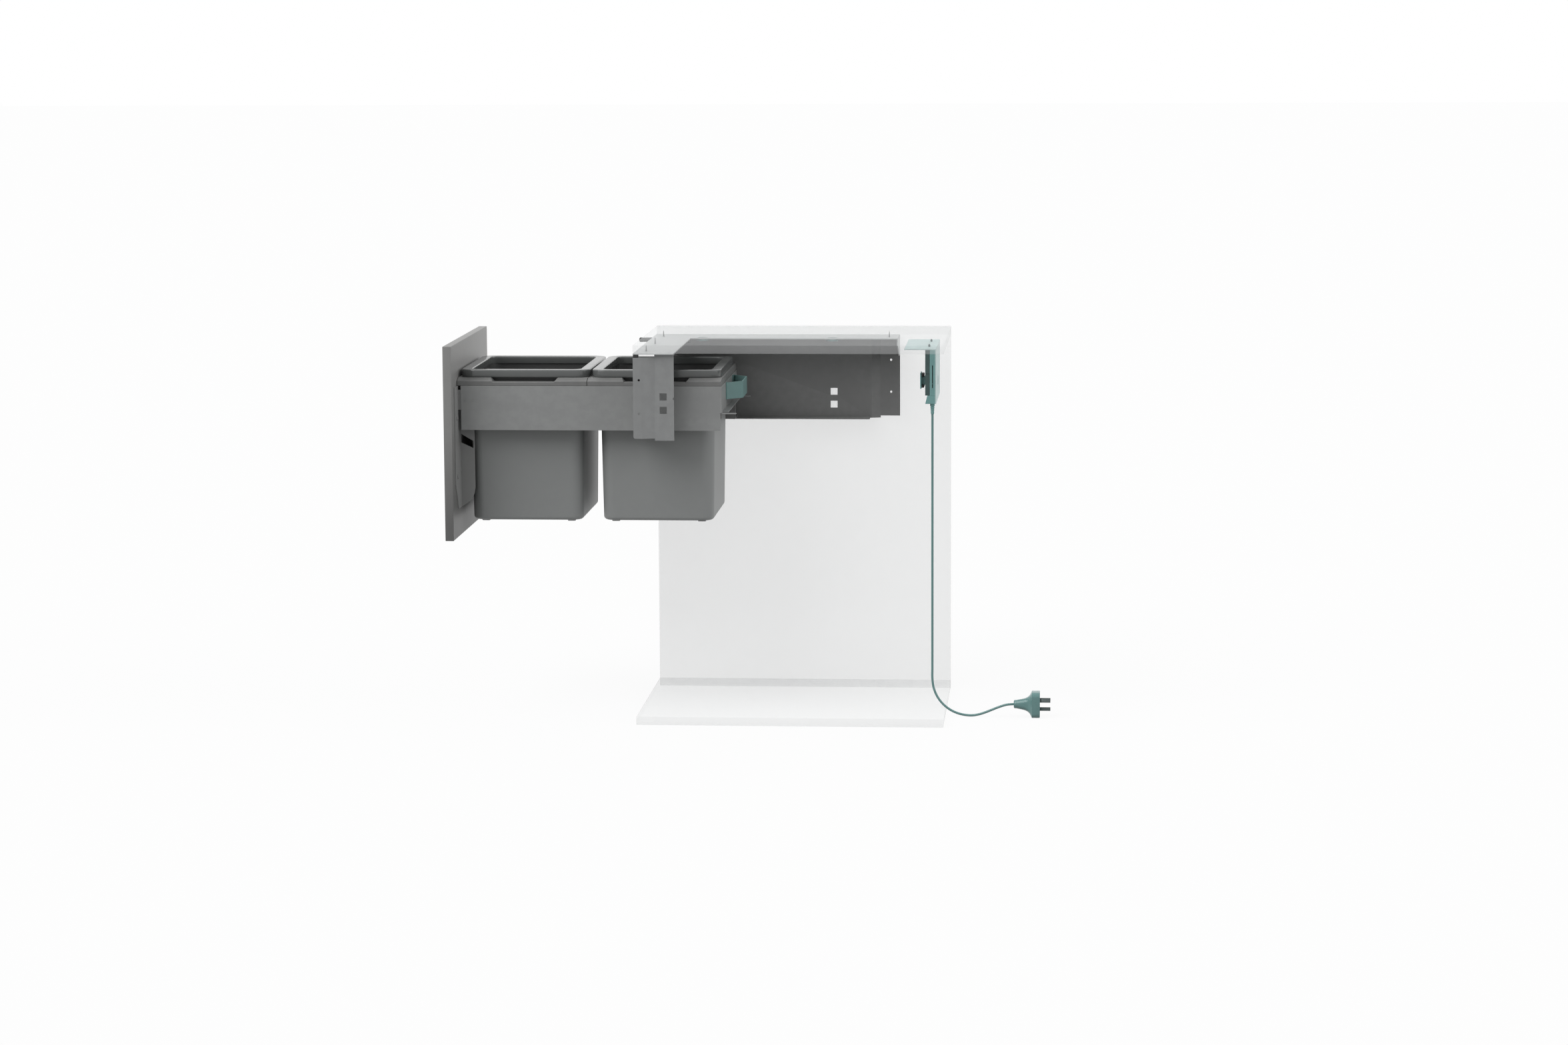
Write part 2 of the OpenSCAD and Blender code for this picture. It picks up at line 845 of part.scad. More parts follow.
// Door bracket: base plate on the door, tongue in the steel side, rib with a rounded
// foot below
module front_bracket() {
    x0 = door_x;
    x1 = door_x + base_t;
    rib_y = base_y + base_w - base_t;
    z_rib = side_bottom - rib_top;
    difference() {
        union() {
            prism_x(x0, x1)
                polygon([[base_y, base_z0() + foot_cut], [foot_y, base_z0()],
                    [base_y + base_w, base_z0()], [base_y + base_w, side_top - base_top_gap],
                    [base_y, side_top - base_top_gap]]);
            prism_y(rib_y, rib_y + base_t)
                polygon(concat([[x0, base_z0()], [x1, base_z0()]],
                    [for (s = rib_curve_shares)
                        [x0 + s[0] * rib_l, base_z0() + s[1] * rib_cut]],
                    [[x0 + rib_l, base_z0() + rib_cut], [x0 + rib_l, z_rib], [x0, z_rib]]));
            block([x0, side_gap + sheet_t, side_top - tongue_drop - tongue_h],
                [x0 + tongue_l, side_gap + sheet_t + base_t, side_top - tongue_drop]);
        }
        prism_y(rib_y - over, rib_y + base_t + over)
            polygon([[x0 + window_in, z_rib - window_drop],
                [x0 + window_in + window_l, z_rib - window_drop - window_fall],
                [x0 + window_in + window_l, z_rib - window_drop - window_fall - window_end_h],
                [x0 + window_in, z_rib - window_drop - window_h]]);
        for (z = door_screw_zs())
            translate([x0 - over, door_screw_y, z]) rotate([0, 90, 0])
                cylinder(r = door_screw_r + fit_air, h = base_t + 2 * over);
        side_screw_cuts();
    }
}

function door_screw_zs() = [base_z0() + door_screw_low, side_top - door_screw_high];

function side_screw_spots() = [for (i = [0, 1])
    [door_x + side_screw_x + i * side_screw_step, side_top - tongue_drop - tongue_h / 2]];

module side_screw_cuts() {
    for (p = side_screw_spots())
        translate([p[0], side_gap - over, p[1]]) rotate([-90, 0, 0])
            cylinder(r = side_screw_r + fit_air, h = sheet_t + base_t + 2 * over);
}

module front_bracket_near() {
    color(steel_mid) cab() front_bracket();
}

module front_bracket_far() {
    color(steel_mid) cab() far_side() front_bracket();
}

// Screws from inside each hollow side, through tongue and sheet
module side_screw_pair() {
    y0 = side_gap + sheet_t + base_t;
    for (p = side_screw_spots()) {
        translate([p[0], side_gap, p[1]]) rotate([-90, 0, 0])
            cylinder(r = side_screw_r, h = y0 - side_gap);
        translate([p[0], y0, p[1]]) rotate([-90, 0, 0])
            cylinder(r = side_screw_head_r, h = side_screw_head_h);
    }
}

module side_screws() {
    color(zinc) cab() {
        side_screw_pair();
        far_side() side_screw_pair();
    }
}

// Screws from the brackets into the door
module door_screw_set() {
    for (z = door_screw_zs()) {
        translate([door_x + base_t - door_screw_len, door_screw_y, z]) rotate([0, 90, 0])
            cylinder(r = door_screw_r, h = door_screw_len);
        translate([door_x + base_t, door_screw_y, z]) rotate([0, 90, 0])
            cylinder(r = door_screw_head_r, h = door_screw_head_h);
    }
}

module door_screws() {
    color(zinc) cab() {
        door_screw_set();
        far_side() door_screw_set();
    }
}

module door_screw_holes() {
    for (z = door_screw_zs())
        translate([door_x + base_t - door_screw_len - fit_air, door_screw_y, z])
            rotate([0, 90, 0]) cylinder(r = door_screw_r + fit_air, h = door_screw_len + over);
}

module door_front() {
    color(door_grey) cab() difference() {
        block([door_x - door_t, -door_overlay, door_low()],
            [door_x, clear_w + door_overlay, door_low() + door_h]);
        door_screw_holes();
        far_side() door_screw_holes();
    }
}

// Plan of the push bracket, drawn in by a wall for its inner line
function push_line(inset) = [
    [rear_x, mid_y - push_base_w / 2 + inset],
    [rear_x + push_d - inset, mid_y - push_face_w / 2 + inset / 2],
    [rear_x + push_d - inset, mid_y + push_face_w / 2 - inset / 2],
    [rear_x, mid_y + push_base_w / 2 - inset]];

module push_bracket() {
    z1 = side_top - push_drop;
    color(teal) cab() difference() {
        union() {
            prism_z(z1 - push_h, z1) difference() {
                polygon(push_line(0));
                polygon(push_line(push_t));
            }
            for (s = [-1, 1])
                translate([0, mid_y + s * (push_base_w / 2 - push_foot / 2), 0])
                    block([rear_x, -push_foot / 2, z1 - push_h],
                        [rear_x + push_t, push_foot / 2, z1]);
        }
        push_screw_cuts();
    }
}

function push_screw_ys() = [for (s = [-1, 1])
    mid_y + s * (push_base_w / 2 - push_foot + push_screw_in / 2)];

function push_screw_z() = side_top - push_drop - push_h / 2;

module push_screw_cuts() {
    for (y = push_screw_ys())
        translate([rear_x - sheet_t - over, y, push_screw_z()]) rotate([0, 90, 0])
            cylinder(r = push_screw_r + fit_air, h = sheet_t + push_t + 2 * over);
}

module push_screws() {
    color(zinc) cab()
        for (y = push_screw_ys()) {
            translate([rear_x - sheet_t, y, push_screw_z()]) rotate([0, 90, 0])
                cylinder(r = push_screw_r, h = sheet_t + push_t);
            translate([rear_x + push_t, y, push_screw_z()]) rotate([0, 90, 0])
                cylinder(r = push_screw_head_r, h = push_screw_head_h);
        }
}

// Four thin discs at the corners of an outline, which a hull joins to the next
module corner_discs(l, w, r, z, h) {
    for (sx = [-1, 1], sy = [-1, 1])
        translate([sx * (l / 2 - r), sy * (w / 2 - r), z]) cylinder(r = r, h = h, $fn = 32);
}

// One level of a bin's outline
module bin_slice(z, draw_in, r) {
    corner_discs(body_l - 2 * draw_in, body_w - 2 * draw_in, r, z, slice_t);
}

// Tapered bin form up to a given height, drawn in by a wall for its inside
module bin_form(inset, z_base, z_rim) {
    z_neck = cap_top - neck_h;
    neck_l = body_l - 2 * (inset + neck_air);
    neck_w = body_w - 2 * (inset + neck_air);
    prism_z(z_neck, z_rim) round_rect(neck_l, neck_w, bin_corner - inset, $fn = 32);
    hull() {
        bin_slice(z_neck, inset + neck_air, bin_corner - inset);
        bin_slice(z_base, inset + base_in, bin_corner - inset);
    }
}

// An open bin with a lip that the rim sits over
module bin(x) {
    z0 = cap_top - bin_depth;
    lip_l = body_l + rim_strip;
    lip_b = body_w + rim_strip;
    translate([x, mid_y, 0]) difference() {
        union() {
            bin_form(0, z0, cap_top + lip_t);
            prism_z(cap_top, cap_top + lip_t) round_rect(lip_l, lip_b, bin_corner + rim_edge);
        }
        bin_form(bin_wall, z0 + bin_floor_t, cap_top + lip_t + over);
    }
}

module bin_front() {
    color(bin_grey) cab() bin(front_bin_x);
}

module bin_rear() {
    color(bin_grey) cab() bin(rear_bin_x);
}

// Rim ring: it covers the bin's lip, and its inner skirt stands in the bin's mouth
module rim(x) {
    z1 = cap_top + rim_h;
    z0 = cap_top;
    mouth_l = rim_l - 2 * (rim_strip + neck_air);
    mouth_w = rim_w - 2 * (rim_strip + neck_air);
    lip_l = body_l + rim_strip + fit_air;
    lip_b = body_w + rim_strip + fit_air;
    hole_l = mouth_l - 2 * (air + bin_wall);
    hole_w = mouth_w - 2 * (air + bin_wall);
    hole_r = bin_corner - 2 * bin_wall;
    translate([x, mid_y, 0]) difference() {
        union() {
            prism_z(z0, z1 - rim_edge) round_rect(rim_l, rim_w, rim_corner);
            hull()
                for (share = rim_round_shares) {
                    draw_in = rim_edge * (1 - sqrt(1 - share * share));
                    corner_discs(rim_l - 2 * draw_in, rim_w - 2 * draw_in,
                        rim_corner - draw_in, z1 - rim_edge * (1 - share) - disc_t, disc_t);
                }
        }
        prism_z(z0 - over, z0 + lip_t) round_rect(lip_l, lip_b, bin_corner + rim_edge);
        prism_z(z0 - over, z1 + over) round_rect(hole_l, hole_w, hole_r);
    }
    translate([x, mid_y, 0]) prism_z(z1 - rim_skirt, z0 + lip_t + air) difference() {
        round_rect(mouth_l - 2 * air, mouth_w - 2 * air, bin_corner - bin_wall);
        round_rect(hole_l, hole_w, hole_r);
    }
}

module rim_front() {
    color(rim_grey) cab() rim(front_bin_x);
}

module rim_rear() {
    color(rim_grey) cab() rim(rear_bin_x);
}

// Four pads under a bin
module bin_feet(x) {
    z1 = cap_top - bin_depth;
    fx = body_l / 2 - base_in - foot_inset - foot_l;
    fy = body_w / 2 - base_in - foot_inset - foot_w;
    translate([x, mid_y, z1 - foot_h])
        for (sx = [-1, 1], sy = [-1, 1])
            translate([sx * (fx + foot_l / 2), sy * (fy + foot_w / 2), 0])
                linear_extrude(height = foot_h)
                    round_rect(foot_l, foot_w, foot_h);
}

module bin_feet_front() {
    color(bin_grey) cab() bin_feet(front_bin_x);
}

module bin_feet_rear() {
    color(bin_grey) cab() bin_feet(rear_bin_x);
}

// Angle plate under the top panel that carries the opener
module unit_bracket() {
    x0 = unit_rear_x - unit_top_d;
    color(teal_pale) cab() difference() {
        union() {
            block([x0, unit_y0, unit_roof], [unit_rear_x, unit_y1, top_z]);
            block([unit_back, unit_y0, unit_roof - unit_h], [unit_rear_x, unit_y1, top_z]);
        }
        for (p = unit_screw_places()) {
            translate([p[0], p[1], unit_roof - over])
                cylinder(r = screw_r + fit_air, h = unit_plate_t + 2 * over);
            block([unit_rear_x - slot_l, p[1] - slot_w / 2 - slot_off, unit_roof - over],
                [unit_rear_x - unit_plate_t - over, p[1] + slot_w / 2 - slot_off, top_z + over]);
        }
        arm_window(unit_back - over, unit_rear_x + over);
    }
}

// Opening that the pusher and its rack pass through
module arm_window(x0, x1) {
    block([x0, arm_y0 - window_air, arm_z0 - window_air],
        [x1, rack_line + rack_up + window_air, arm_z0 + arm_h + window_air]);
}

module unit_screws() {
    color(teal) cab()
        for (p = unit_screw_places()) panel_screw(p[0], p[1], unit_roof);
}

// Pockets round the two screw heads in the housing's roof
module head_pockets() {
    for (p = unit_screw_places())
        translate([p[0], p[1], unit_roof - screw_head_h - air])
            cylinder(r = screw_head_r + air, h = screw_head_h + air + over);
}

// Rear half of the housing, open to the front, with shelf and bearing for the drive
module unit_shell() {
    x0 = unit_front + cover_d + air;
    z0 = unit_roof - cover_h;
    shelf_z = pinion_z + pinion_h + shelf_up;
    low_z = pinion_z - bearing_gap - bearing_h;
    color(teal) cab() difference() {
        union() {
            difference() {
                block([x0, unit_y0, z0], [unit_back, unit_y1, unit_roof]);
                block([x0 - over, unit_y0 + unit_wall, z0 + unit_wall],
                    [unit_back - unit_wall, unit_y1 - unit_wall, unit_roof - unit_wall]);
            }
            block([unit_back - unit_wall - shelf_d, pinion_y - shelf_w / 2, shelf_z],
                [unit_back - unit_wall, pinion_y + shelf_w / 2, shelf_z + shelf_t]);
            block([unit_back - unit_wall - shelf_d, pinion_y - bearing_w / 2, low_z],
                [unit_back - unit_wall, pinion_y + bearing_w / 2, low_z + bearing_h]);
        }
        translate([pinion_x, pinion_y, shelf_z - over])
            cylinder(r = shelf_hole_r, h = shelf_t + 2 * over);
        translate([pinion_x, pinion_y, low_z - over])
            cylinder(r = shaft_r + shaft_air, h = bearing_h + 2 * over);
        arm_window(x0 - over, unit_back + over);
        block([unit_back - side_slot_in, unit_y0 - over,
                unit_roof - side_slot_drop - side_slot_h],
            [unit_back - side_slot_in + side_slot_w, unit_y0 + unit_wall + over,
                unit_roof - side_slot_drop]);
        head_pockets();
    }
}

// Front half of the housing, open to the rear
module unit_cover() {
    x1 = unit_front + cover_d;
    z0 = unit_roof - cover_h;
    color(teal) cab() difference() {
        block([unit_front, unit_y0, z0], [x1, unit_y1, unit_roof]);
        block([unit_front + unit_wall, unit_y0 + unit_wall, z0 + unit_wall],
            [x1 + over, unit_y1 - unit_wall, unit_roof - unit_wall]);
        arm_window(unit_front - over, unit_front + unit_wall + over);
        block([unit_front - over, mid_y - head_width / 2 - window_air,
                arm_z0 - pad_h - window_air],
            [unit_front + unit_wall + over, mid_y + head_width / 2 + window_air,
                arm_z0 + arm_h + pad_h + window_air]);
        for (i = [0, 1])
            translate([unit_front + over + i * pip_step, unit_y0 - over,
                    unit_roof - pip_drop])
                cube([pip_w, over + pip_depth, pip_w]);
        head_pockets();
    }
}

// Box under the housing where the cord comes in
module inlet_box() {
    z1 = unit_roof - cover_h;
    color(teal) cab()
        prism_y(unit_y0, unit_y0 + inlet_w)
            polygon([[unit_front, z1 - inlet_h], [unit_back, z1 - inlet_h], [unit_back, z1],
                [unit_front + inlet_slope, z1]]);
}

module gear_motor() {
    z0 = pinion_z + pinion_h + shelf_up + shelf_t;
    color(zinc) cab() translate([pinion_x, pinion_y, z0]) difference() {
        cylinder(r = motor_r, h = motor_l);
        translate([0, 0, -over]) cylinder(r = shaft_r + shaft_air, h = motor_bore + over);
    }
}

// Point of the involute of a circle, turned by a start angle
function involute(rb, t, turn) = let (d = t * 180 / PI)
    [rb * (cos(d + turn) + t * sin(d + turn)), rb * (sin(d + turn) - t * cos(d + turn))];

// Outline of one pinion tooth, centred on +X, from its root to its tip and back
function pinion_tooth() = let (
    rb = pitch_r * cos(pressure),
    rt = pitch_r + pinion_up * rack_module,
    rr = pitch_r - pinion_down * rack_module,
    t_tip = sqrt(pow(rt / rb, 2) - 1),
    t_pitch = tan(pressure),
    half = 90 / pinion_teeth - pinion_slack / 2 / pitch_r * 180 / PI
        + (t_pitch * 180 / PI - pressure),
    flank = [for (i = [0 : 4]) involute(rb, t_tip * i / 4, -half)],
    other = [for (i = [4 : -1 : 0]) [flank[i][0], -flank[i][1]]])
    concat([[rr * cos(half), -rr * sin(half)]], flank, other,
        [[rr * cos(half), rr * sin(half)]]);

// Pinion on its shaft; a tooth points at the rack while at rest
module drive_pinion() {
    root_r = pitch_r - pinion_down * rack_module;
    color(zinc) cab() translate([pinion_x, pinion_y, pinion_z]) {
        cylinder(r = root_r + air / 2, h = pinion_h);
        for (i = [0 : pinion_teeth - 1])
            rotate([0, 0, -90 + i * 360 / pinion_teeth])
                linear_extrude(height = pinion_h) polygon(pinion_tooth());
        translate([0, 0, -shaft_low]) cylinder(r = shaft_r,
            h = shaft_low + pinion_h + shaft_high);
    }
}

// One rack tooth, drawn outwards from the root line
module rack_tooth() {
    half = (tooth_pitch / 2 - rack_slack) / 2;
    lean = tan(pressure);
    polygon([[-half - rack_down * lean, -rack_down - air],
        [-half - rack_down * lean, -rack_down],
        [-half + rack_up * lean, rack_up], [half - rack_up * lean, rack_up],
        [half + rack_down * lean, -rack_down], [half + rack_down * lean, -rack_down - air]]);
}

// T-shaped pusher: head plate, arm and the rack along its far side
module pusher_arm() {
    x1 = head_x + head_t + arm_len;
    z_mid = arm_z0 + arm_h / 2;
    color(teal) cab() {
        block([head_x, mid_y - head_width / 2, z_mid - head_height / 2],
            [head_x + head_t, mid_y + head_width / 2, z_mid + head_height / 2]);
        block([head_x, arm_y0, arm_z0], [x1, arm_y0 + arm_w, arm_z0 + arm_h]);
        for (i = [0 : rack_teeth - 1])
            translate([pinion_x + (rack_lead - i) * tooth_pitch, rack_line, arm_z0])
                linear_extrude(height = arm_h) rack_tooth();
    }
}

// Rubber pads behind the pusher's head, above and below the arm
module pusher_pads() {
    x0 = head_x + head_t;
    color(nylon_dark) cab()
        for (z = [arm_z0 + arm_h, arm_z0 - pad_h])
            block([x0, mid_y - head_width / 2, z], [x0 + pad_t, mid_y + head_width / 2, z + pad_h]);
}

module control_board() {
    x1 = unit_back - unit_wall;
    y0 = unit_y1 - board_y - board_w;
    z0 = unit_roof - board_z - board_h;
    color(board_green) cab() {
        block([x1 - board_t, y0, z0], [x1, y0 + board_w, z0 + board_h]);
        for (i = [0 : 2])
            translate([x1 - board_t - chip_t, y0 + chip_w + i * chip_pitch, z0 + chip_l])
                cube([chip_t, chip_w, chip_l]);
    }
}

module power_module() {
    x1 = unit_back - unit_wall;
    y0 = unit_y0 + power_y;
    z0 = unit_roof - power_z - power_h;
    color(nylon_dark) cab() block([x1 - power_d, y0, z0], [x1, y0 + power_w, z0 + power_h]);
}

module cord_gland() {
    color(teal) translate([gland_x, cord_y, gland_z - gland_l])
        cylinder(r1 = gland_r2, r2 = gland_r1, h = gland_l);
}

// The cord's route: the drop in equal parts, then the bend
function cord_route() = concat(
    [for (i = [0 : drop_parts])
        [gland_x, gland_z - gland_l + (bend_z - gland_z + gland_l) * i / drop_parts]],
    [for (p = cord_bend) [gland_x + p[0], p[1]]]);

// Smooth curve through the route's points
function route_at(p, i, t) = let (
    n = len(p) - 1,
    a = i > 0 ? p[i - 1] : 2 * p[0] - p[1],
    b = p[i],
    c = p[i + 1],
    d = i + 2 > n ? 2 * p[n] - p[n - 1] : p[i + 2])
    0.5 * ((2 * b) + (c - a) * t + (2 * a - 5 * b + 4 * c - d) * t * t
        + (3 * b - a - 3 * c + d) * t * t * t);

function route_points(p, steps) = concat(
    [for (i = [0 : len(p) - 2], j = [0 : steps - 1]) route_at(p, i, j / steps)],
    [p[len(p) - 1]]);

// Direction of the route at one of its points, of length one
function route_turn(q, i) = let (
    a = q[max(i - 1, 0)],
    b = q[min(i + 1, len(q) - 1)],
    d = i == 0 ? [0, -1] : i == len(q) - 1 ? [1, 0] : (b - a) / norm(b - a)) d;

module cord() {
    q = route_points(cord_route(), cord_steps);
    n = len(q);
    m = cord_sides;
    rings = [for (i = [0 : n - 1], k = [0 : m - 1])
        let (d = route_turn(q, i), a = 360 * (k + 0.5) / m)
            [q[i][0] - d[1] * cord_r * cos(a), cord_y + cord_r * sin(a),
                q[i][1] + d[0] * cord_r * cos(a)]];
    walls = [for (i = [0 : n - 2], k = [0 : m - 1])
        let (j = (k + 1) % m)
            each [[i * m + k, i * m + j, (i + 1) * m + j], [i * m + k, (i + 1) * m + j,
                (i + 1) * m + k]]];
    ends = [[for (k = [m - 1 : -1 : 0]) k], [for (k = [0 : m - 1]) (n - 1) * m + k]];
    color(teal) polyhedron(points = rings, faces = concat(walls, ends));
}

// Plug: neck, concave flare and flange, turned and then cut to the flange's outline
module plug_body() {
    l = neck_l + flare_l + flange_l;
    reach = norm([flange_h, flange_b]) / 2;
    color(teal) translate([plug_x, cord_y, plug_z]) rotate([0, 90, 0]) intersection() {
        rotate_extrude() polygon(concat([[0, 0], [neck_r, 0]],
            [for (i = [0 : flare_steps]) let (s = i / flare_steps)
                [neck_r + (reach - neck_r) * pow(s, 3), neck_l + flare_l * s]],
            [[reach, l], [0, l]]));
        linear_extrude(height = l) round_rect(flange_h, flange_b, flange_r);
    }
}

module blade(y, z, turn) {
    translate([plug_x + neck_l + flare_l + flange_l, cord_y + y, plug_z + z])
        rotate([turn, 0, 0]) translate([0, -blade_t / 2, -blade_h / 2])
            cube([blade_l, blade_t, blade_h]);
}

module plug_pins() {
    color(zinc) {
        blade(-live_out, live_up, -live_turn);
        blade(live_out, live_up, live_turn);
        blade(0, -earth_down, 0);
    }
}

top_panel();
side_panel();
bottom_panel();
panel_dowels();
frame_top();
near_leg();
far_side_plate();
frame_rivets();
frame_screws();
strip_caps();
edge_buffer();
buffer_sleeve();
buffer_plunger();
guide_near();
guide_far();
glide_near();
glide_far();
rail_near();
rail_far();
drawer_side_near();
drawer_side_far();
rear_panel();
cross_bar();
bin_frame_front();
bin_frame_rear();
front_bracket_near();
front_bracket_far();
side_screws();
door_screws();
door_front();
push_bracket();
push_screws();
bin_front();
bin_rear();
rim_front();
rim_rear();
bin_feet_front();
bin_feet_rear();
unit_bracket();
unit_screws();
unit_shell();
unit_cover();
inlet_box();
gear_motor();
drive_pinion();
pusher_arm();
pusher_pads();
control_board();
power_module();
cord_gland();
cord();
plug_body();
plug_pins();
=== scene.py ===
"""Pull-out waste cabinet with an electric opener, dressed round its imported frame.

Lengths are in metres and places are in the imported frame: X from the door to the
rear, Y from the near side to the far side, Z up from the floor.
"""

import json

import bmesh
import bpy
import numpy as np
from bpy.props import FloatProperty, FloatVectorProperty, PointerProperty
from mathutils import Euler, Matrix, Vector


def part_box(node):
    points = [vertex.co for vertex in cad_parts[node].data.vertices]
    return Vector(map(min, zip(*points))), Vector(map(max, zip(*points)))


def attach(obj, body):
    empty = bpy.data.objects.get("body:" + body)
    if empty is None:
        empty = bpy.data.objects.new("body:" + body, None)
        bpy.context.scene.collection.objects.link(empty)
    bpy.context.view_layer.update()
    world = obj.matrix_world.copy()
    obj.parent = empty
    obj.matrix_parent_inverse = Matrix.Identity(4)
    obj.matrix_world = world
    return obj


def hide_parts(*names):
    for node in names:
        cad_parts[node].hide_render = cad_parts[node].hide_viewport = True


bl_info = {
    "name": "Pull-out waste cabinet",
    "version": (1, 0, 0),
    "blender": (4, 5, 0),
    "location": "View3D > Sidebar > Waste cabinet",
    "description": "Builds the pieces, finishes and stage of a pull-out waste cabinet",
    "category": "Object",
}

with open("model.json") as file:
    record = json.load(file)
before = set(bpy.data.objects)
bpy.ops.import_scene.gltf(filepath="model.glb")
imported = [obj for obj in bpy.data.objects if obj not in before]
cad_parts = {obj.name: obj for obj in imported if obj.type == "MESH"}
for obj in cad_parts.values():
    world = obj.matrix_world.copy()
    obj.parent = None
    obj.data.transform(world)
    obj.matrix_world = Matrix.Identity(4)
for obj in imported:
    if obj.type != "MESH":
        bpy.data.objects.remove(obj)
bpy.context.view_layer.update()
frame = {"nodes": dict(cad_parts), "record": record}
NODE_BODY = {
    node: body
    for body, nodes in frame["record"]["behaviour"]["bodies"].items()
    for node in nodes
}
NODE_SLOT = {part["node"]: part["material_slot"] for part in frame["record"]["subparts"]}

# Camera, worked out from twelve corners of the panels and the steel frame
CAMERA_PLACE = (0.71404, -7.33630, 1.37339)
CAMERA_TURN = (82.1471, 0.2724, 4.3304)
CAMERA_LENS = 88.556
CAMERA_SENSOR = 36.0
CAMERA_REACH = 200

# Stage: half the floor's side, how far it lies below the object, how much of it shows
# as plain white, and the strength of the sky
FLOOR_REACH = 40.0
FLOOR_DROP = 0.0004
FLOOR_WHITE = 0.92
SKY_STRENGTH = 0.36

# Meshes: how near points are one, in metres, then in degrees the folds that count as
# flat, those above which they stay sharp and those above which they are rounded
MERGE_MADE, MERGE_PACKED = 2e-6, 5e-6
FLAT_FOLD, SHARP_FOLD, ROUNDED_FOLD = 1, 12, 28
ROUNDING_STEPS = 2

# Cord: one Y, the drop from the gland, then the bend whose X counts from the gland
CORD_X, CORD_Y = 0.443, -0.095
CORD_TOP, CORD_TURN, CORD_PARTS = 0.580, 0.094, 16
CORD_BEND = np.array(
    [
        [0, 74], [2.5, 56], [9.5, 38.5], [21, 23.5], [36, 12], [53.5, 5], [72, 2.5],
        [87, 4.2], [101, 8.6], [114, 13.9], [127, 19.2], [141, 23.6], [155, 25],
    ]
) / 1000
CORD_STEPS = 8
GLAND_LENGTH = 0.020

# Plug: where its neck starts, and the lengths of neck, flare and flange along X
PLUG_X, PLUG_Z = 0.598, 0.025
PLUG_NECK, PLUG_FLARE, PLUG_FLANGE = 0.005, 0.0295, 0.0153


class CabinetSizes(bpy.types.PropertyGroup):
    """Sizes that a user may change."""

    panel_edge: FloatProperty(
        name="Panel edge", description="Rounding of the clear panels' edges",
        default=0.0006, unit="LENGTH", precision=5)
    door_edge: FloatProperty(
        name="Door edge", description="Rounding of the door's edges",
        default=0.0010, unit="LENGTH", precision=5)
    sheet_edge: FloatProperty(
        name="Sheet edge", description="Rounding of the steel sheets' edges",
        default=0.0004, unit="LENGTH", precision=5)
    moulded_edge: FloatProperty(
        name="Moulded edge", description="Rounding of the plastic mouldings' edges",
        default=0.0009, unit="LENGTH", precision=5)
    cord_radius: FloatProperty(
        name="Cord radius", description="Half the thickness of the mains cord",
        default=0.00225, unit="LENGTH", precision=5)
    bin_wall: FloatProperty(
        name="Bin wall", description="Thickness of the bins' walls",
        default=0.0025, unit="LENGTH", precision=5)


class CabinetColours(bpy.types.PropertyGroup):
    """Colours that a user may change."""

    panel: FloatVectorProperty(
        name="Panels", description="Translucent white of the carcass panels",
        default=(0.92, 0.93, 0.93), subtype="COLOR", min=0, max=1)
    # The top plate takes a lightened copy of this steel as painted light
    steel: FloatVectorProperty(
        name="Frame steel", description="Grey coat of the leg; the top plate takes a lightened copy as painted light",
        default=(0.255, 0.259, 0.259), subtype="COLOR", min=0, max=1)
    # The far plate's colour is the frame steel darkened as painted shade
    shade: FloatVectorProperty(
        name="Far plate", description="Frame steel darkened by painted shade, for the far side plate",
        default=(0.17, 0.17, 0.168), subtype="COLOR", min=0, max=1)
    drawer: FloatVectorProperty(
        name="Sliding frame", description="Grey coat of the sliding frame's sheets",
        default=(0.26, 0.264, 0.262), subtype="COLOR", min=0, max=1)
    moulding: FloatVectorProperty(
        name="Bin frames", description="Grey plastic of the frames the bins hang in",
        default=(0.16, 0.161, 0.158), subtype="COLOR", min=0, max=1)
    bins: FloatVectorProperty(
        name="Bins", description="Grey plastic of the bins",
        default=(0.265, 0.272, 0.269), subtype="COLOR", min=0, max=1)
    rims: FloatVectorProperty(
        name="Rims", description="Satin grey plastic of the bin rims",
        default=(0.112, 0.117, 0.115), subtype="COLOR", min=0, max=1)
    door: FloatVectorProperty(
        name="Door", description="Grey lacquer of the door",
        default=(0.235, 0.233, 0.228), subtype="COLOR", min=0, max=1)
    teal: FloatVectorProperty(
        name="Opener", description="Teal plastic of the opener and its cord",
        default=(0.135, 0.265, 0.257), subtype="COLOR", min=0, max=1)
    pale_teal: FloatVectorProperty(
        name="Opener plate", description="Pale teal coat of the opener's angle plate",
        default=(0.50, 0.63, 0.62), subtype="COLOR", min=0, max=1)


def sizes():
    """The sizes in use."""
    return bpy.context.scene.cabinet_sizes


def colours():
    """The colours in use."""
    return bpy.context.scene.cabinet_colours


# Surfaces


def grid_faces(rows, cols, closed_rows):
    """Quads of a grid whose columns run round: each joins point (i, j) to (i, j + 1),
    (i + 1, j + 1) and (i + 1, j), and with closed rows the last row joins the first."""
    i = np.arange(rows if closed_rows else rows - 1)[:, None]
    j = np.arange(cols)[None, :]
    i2, j2 = (i + 1) % rows, (j + 1) % cols
    quads = [i * cols + j, i * cols + j2, i2 * cols + j2, i2 * cols + j]
    return np.stack(quads, -1).reshape(-1, 4)


def shell(rings, closed_rows=False):
    """Vertices and faces of a surface through rings of points, K by N by 3. Its two end
    rings are capped, or with closed rows the last ring joins the first."""
    rows, cols, _ = rings.shape
    faces = grid_faces(rows, cols, closed_rows).tolist()
    if not closed_rows:
        faces.append(list(range(cols)))
        faces.append(list(range((rows - 1) * cols, rows * cols)))
    return rings.reshape(-1, 3), faces


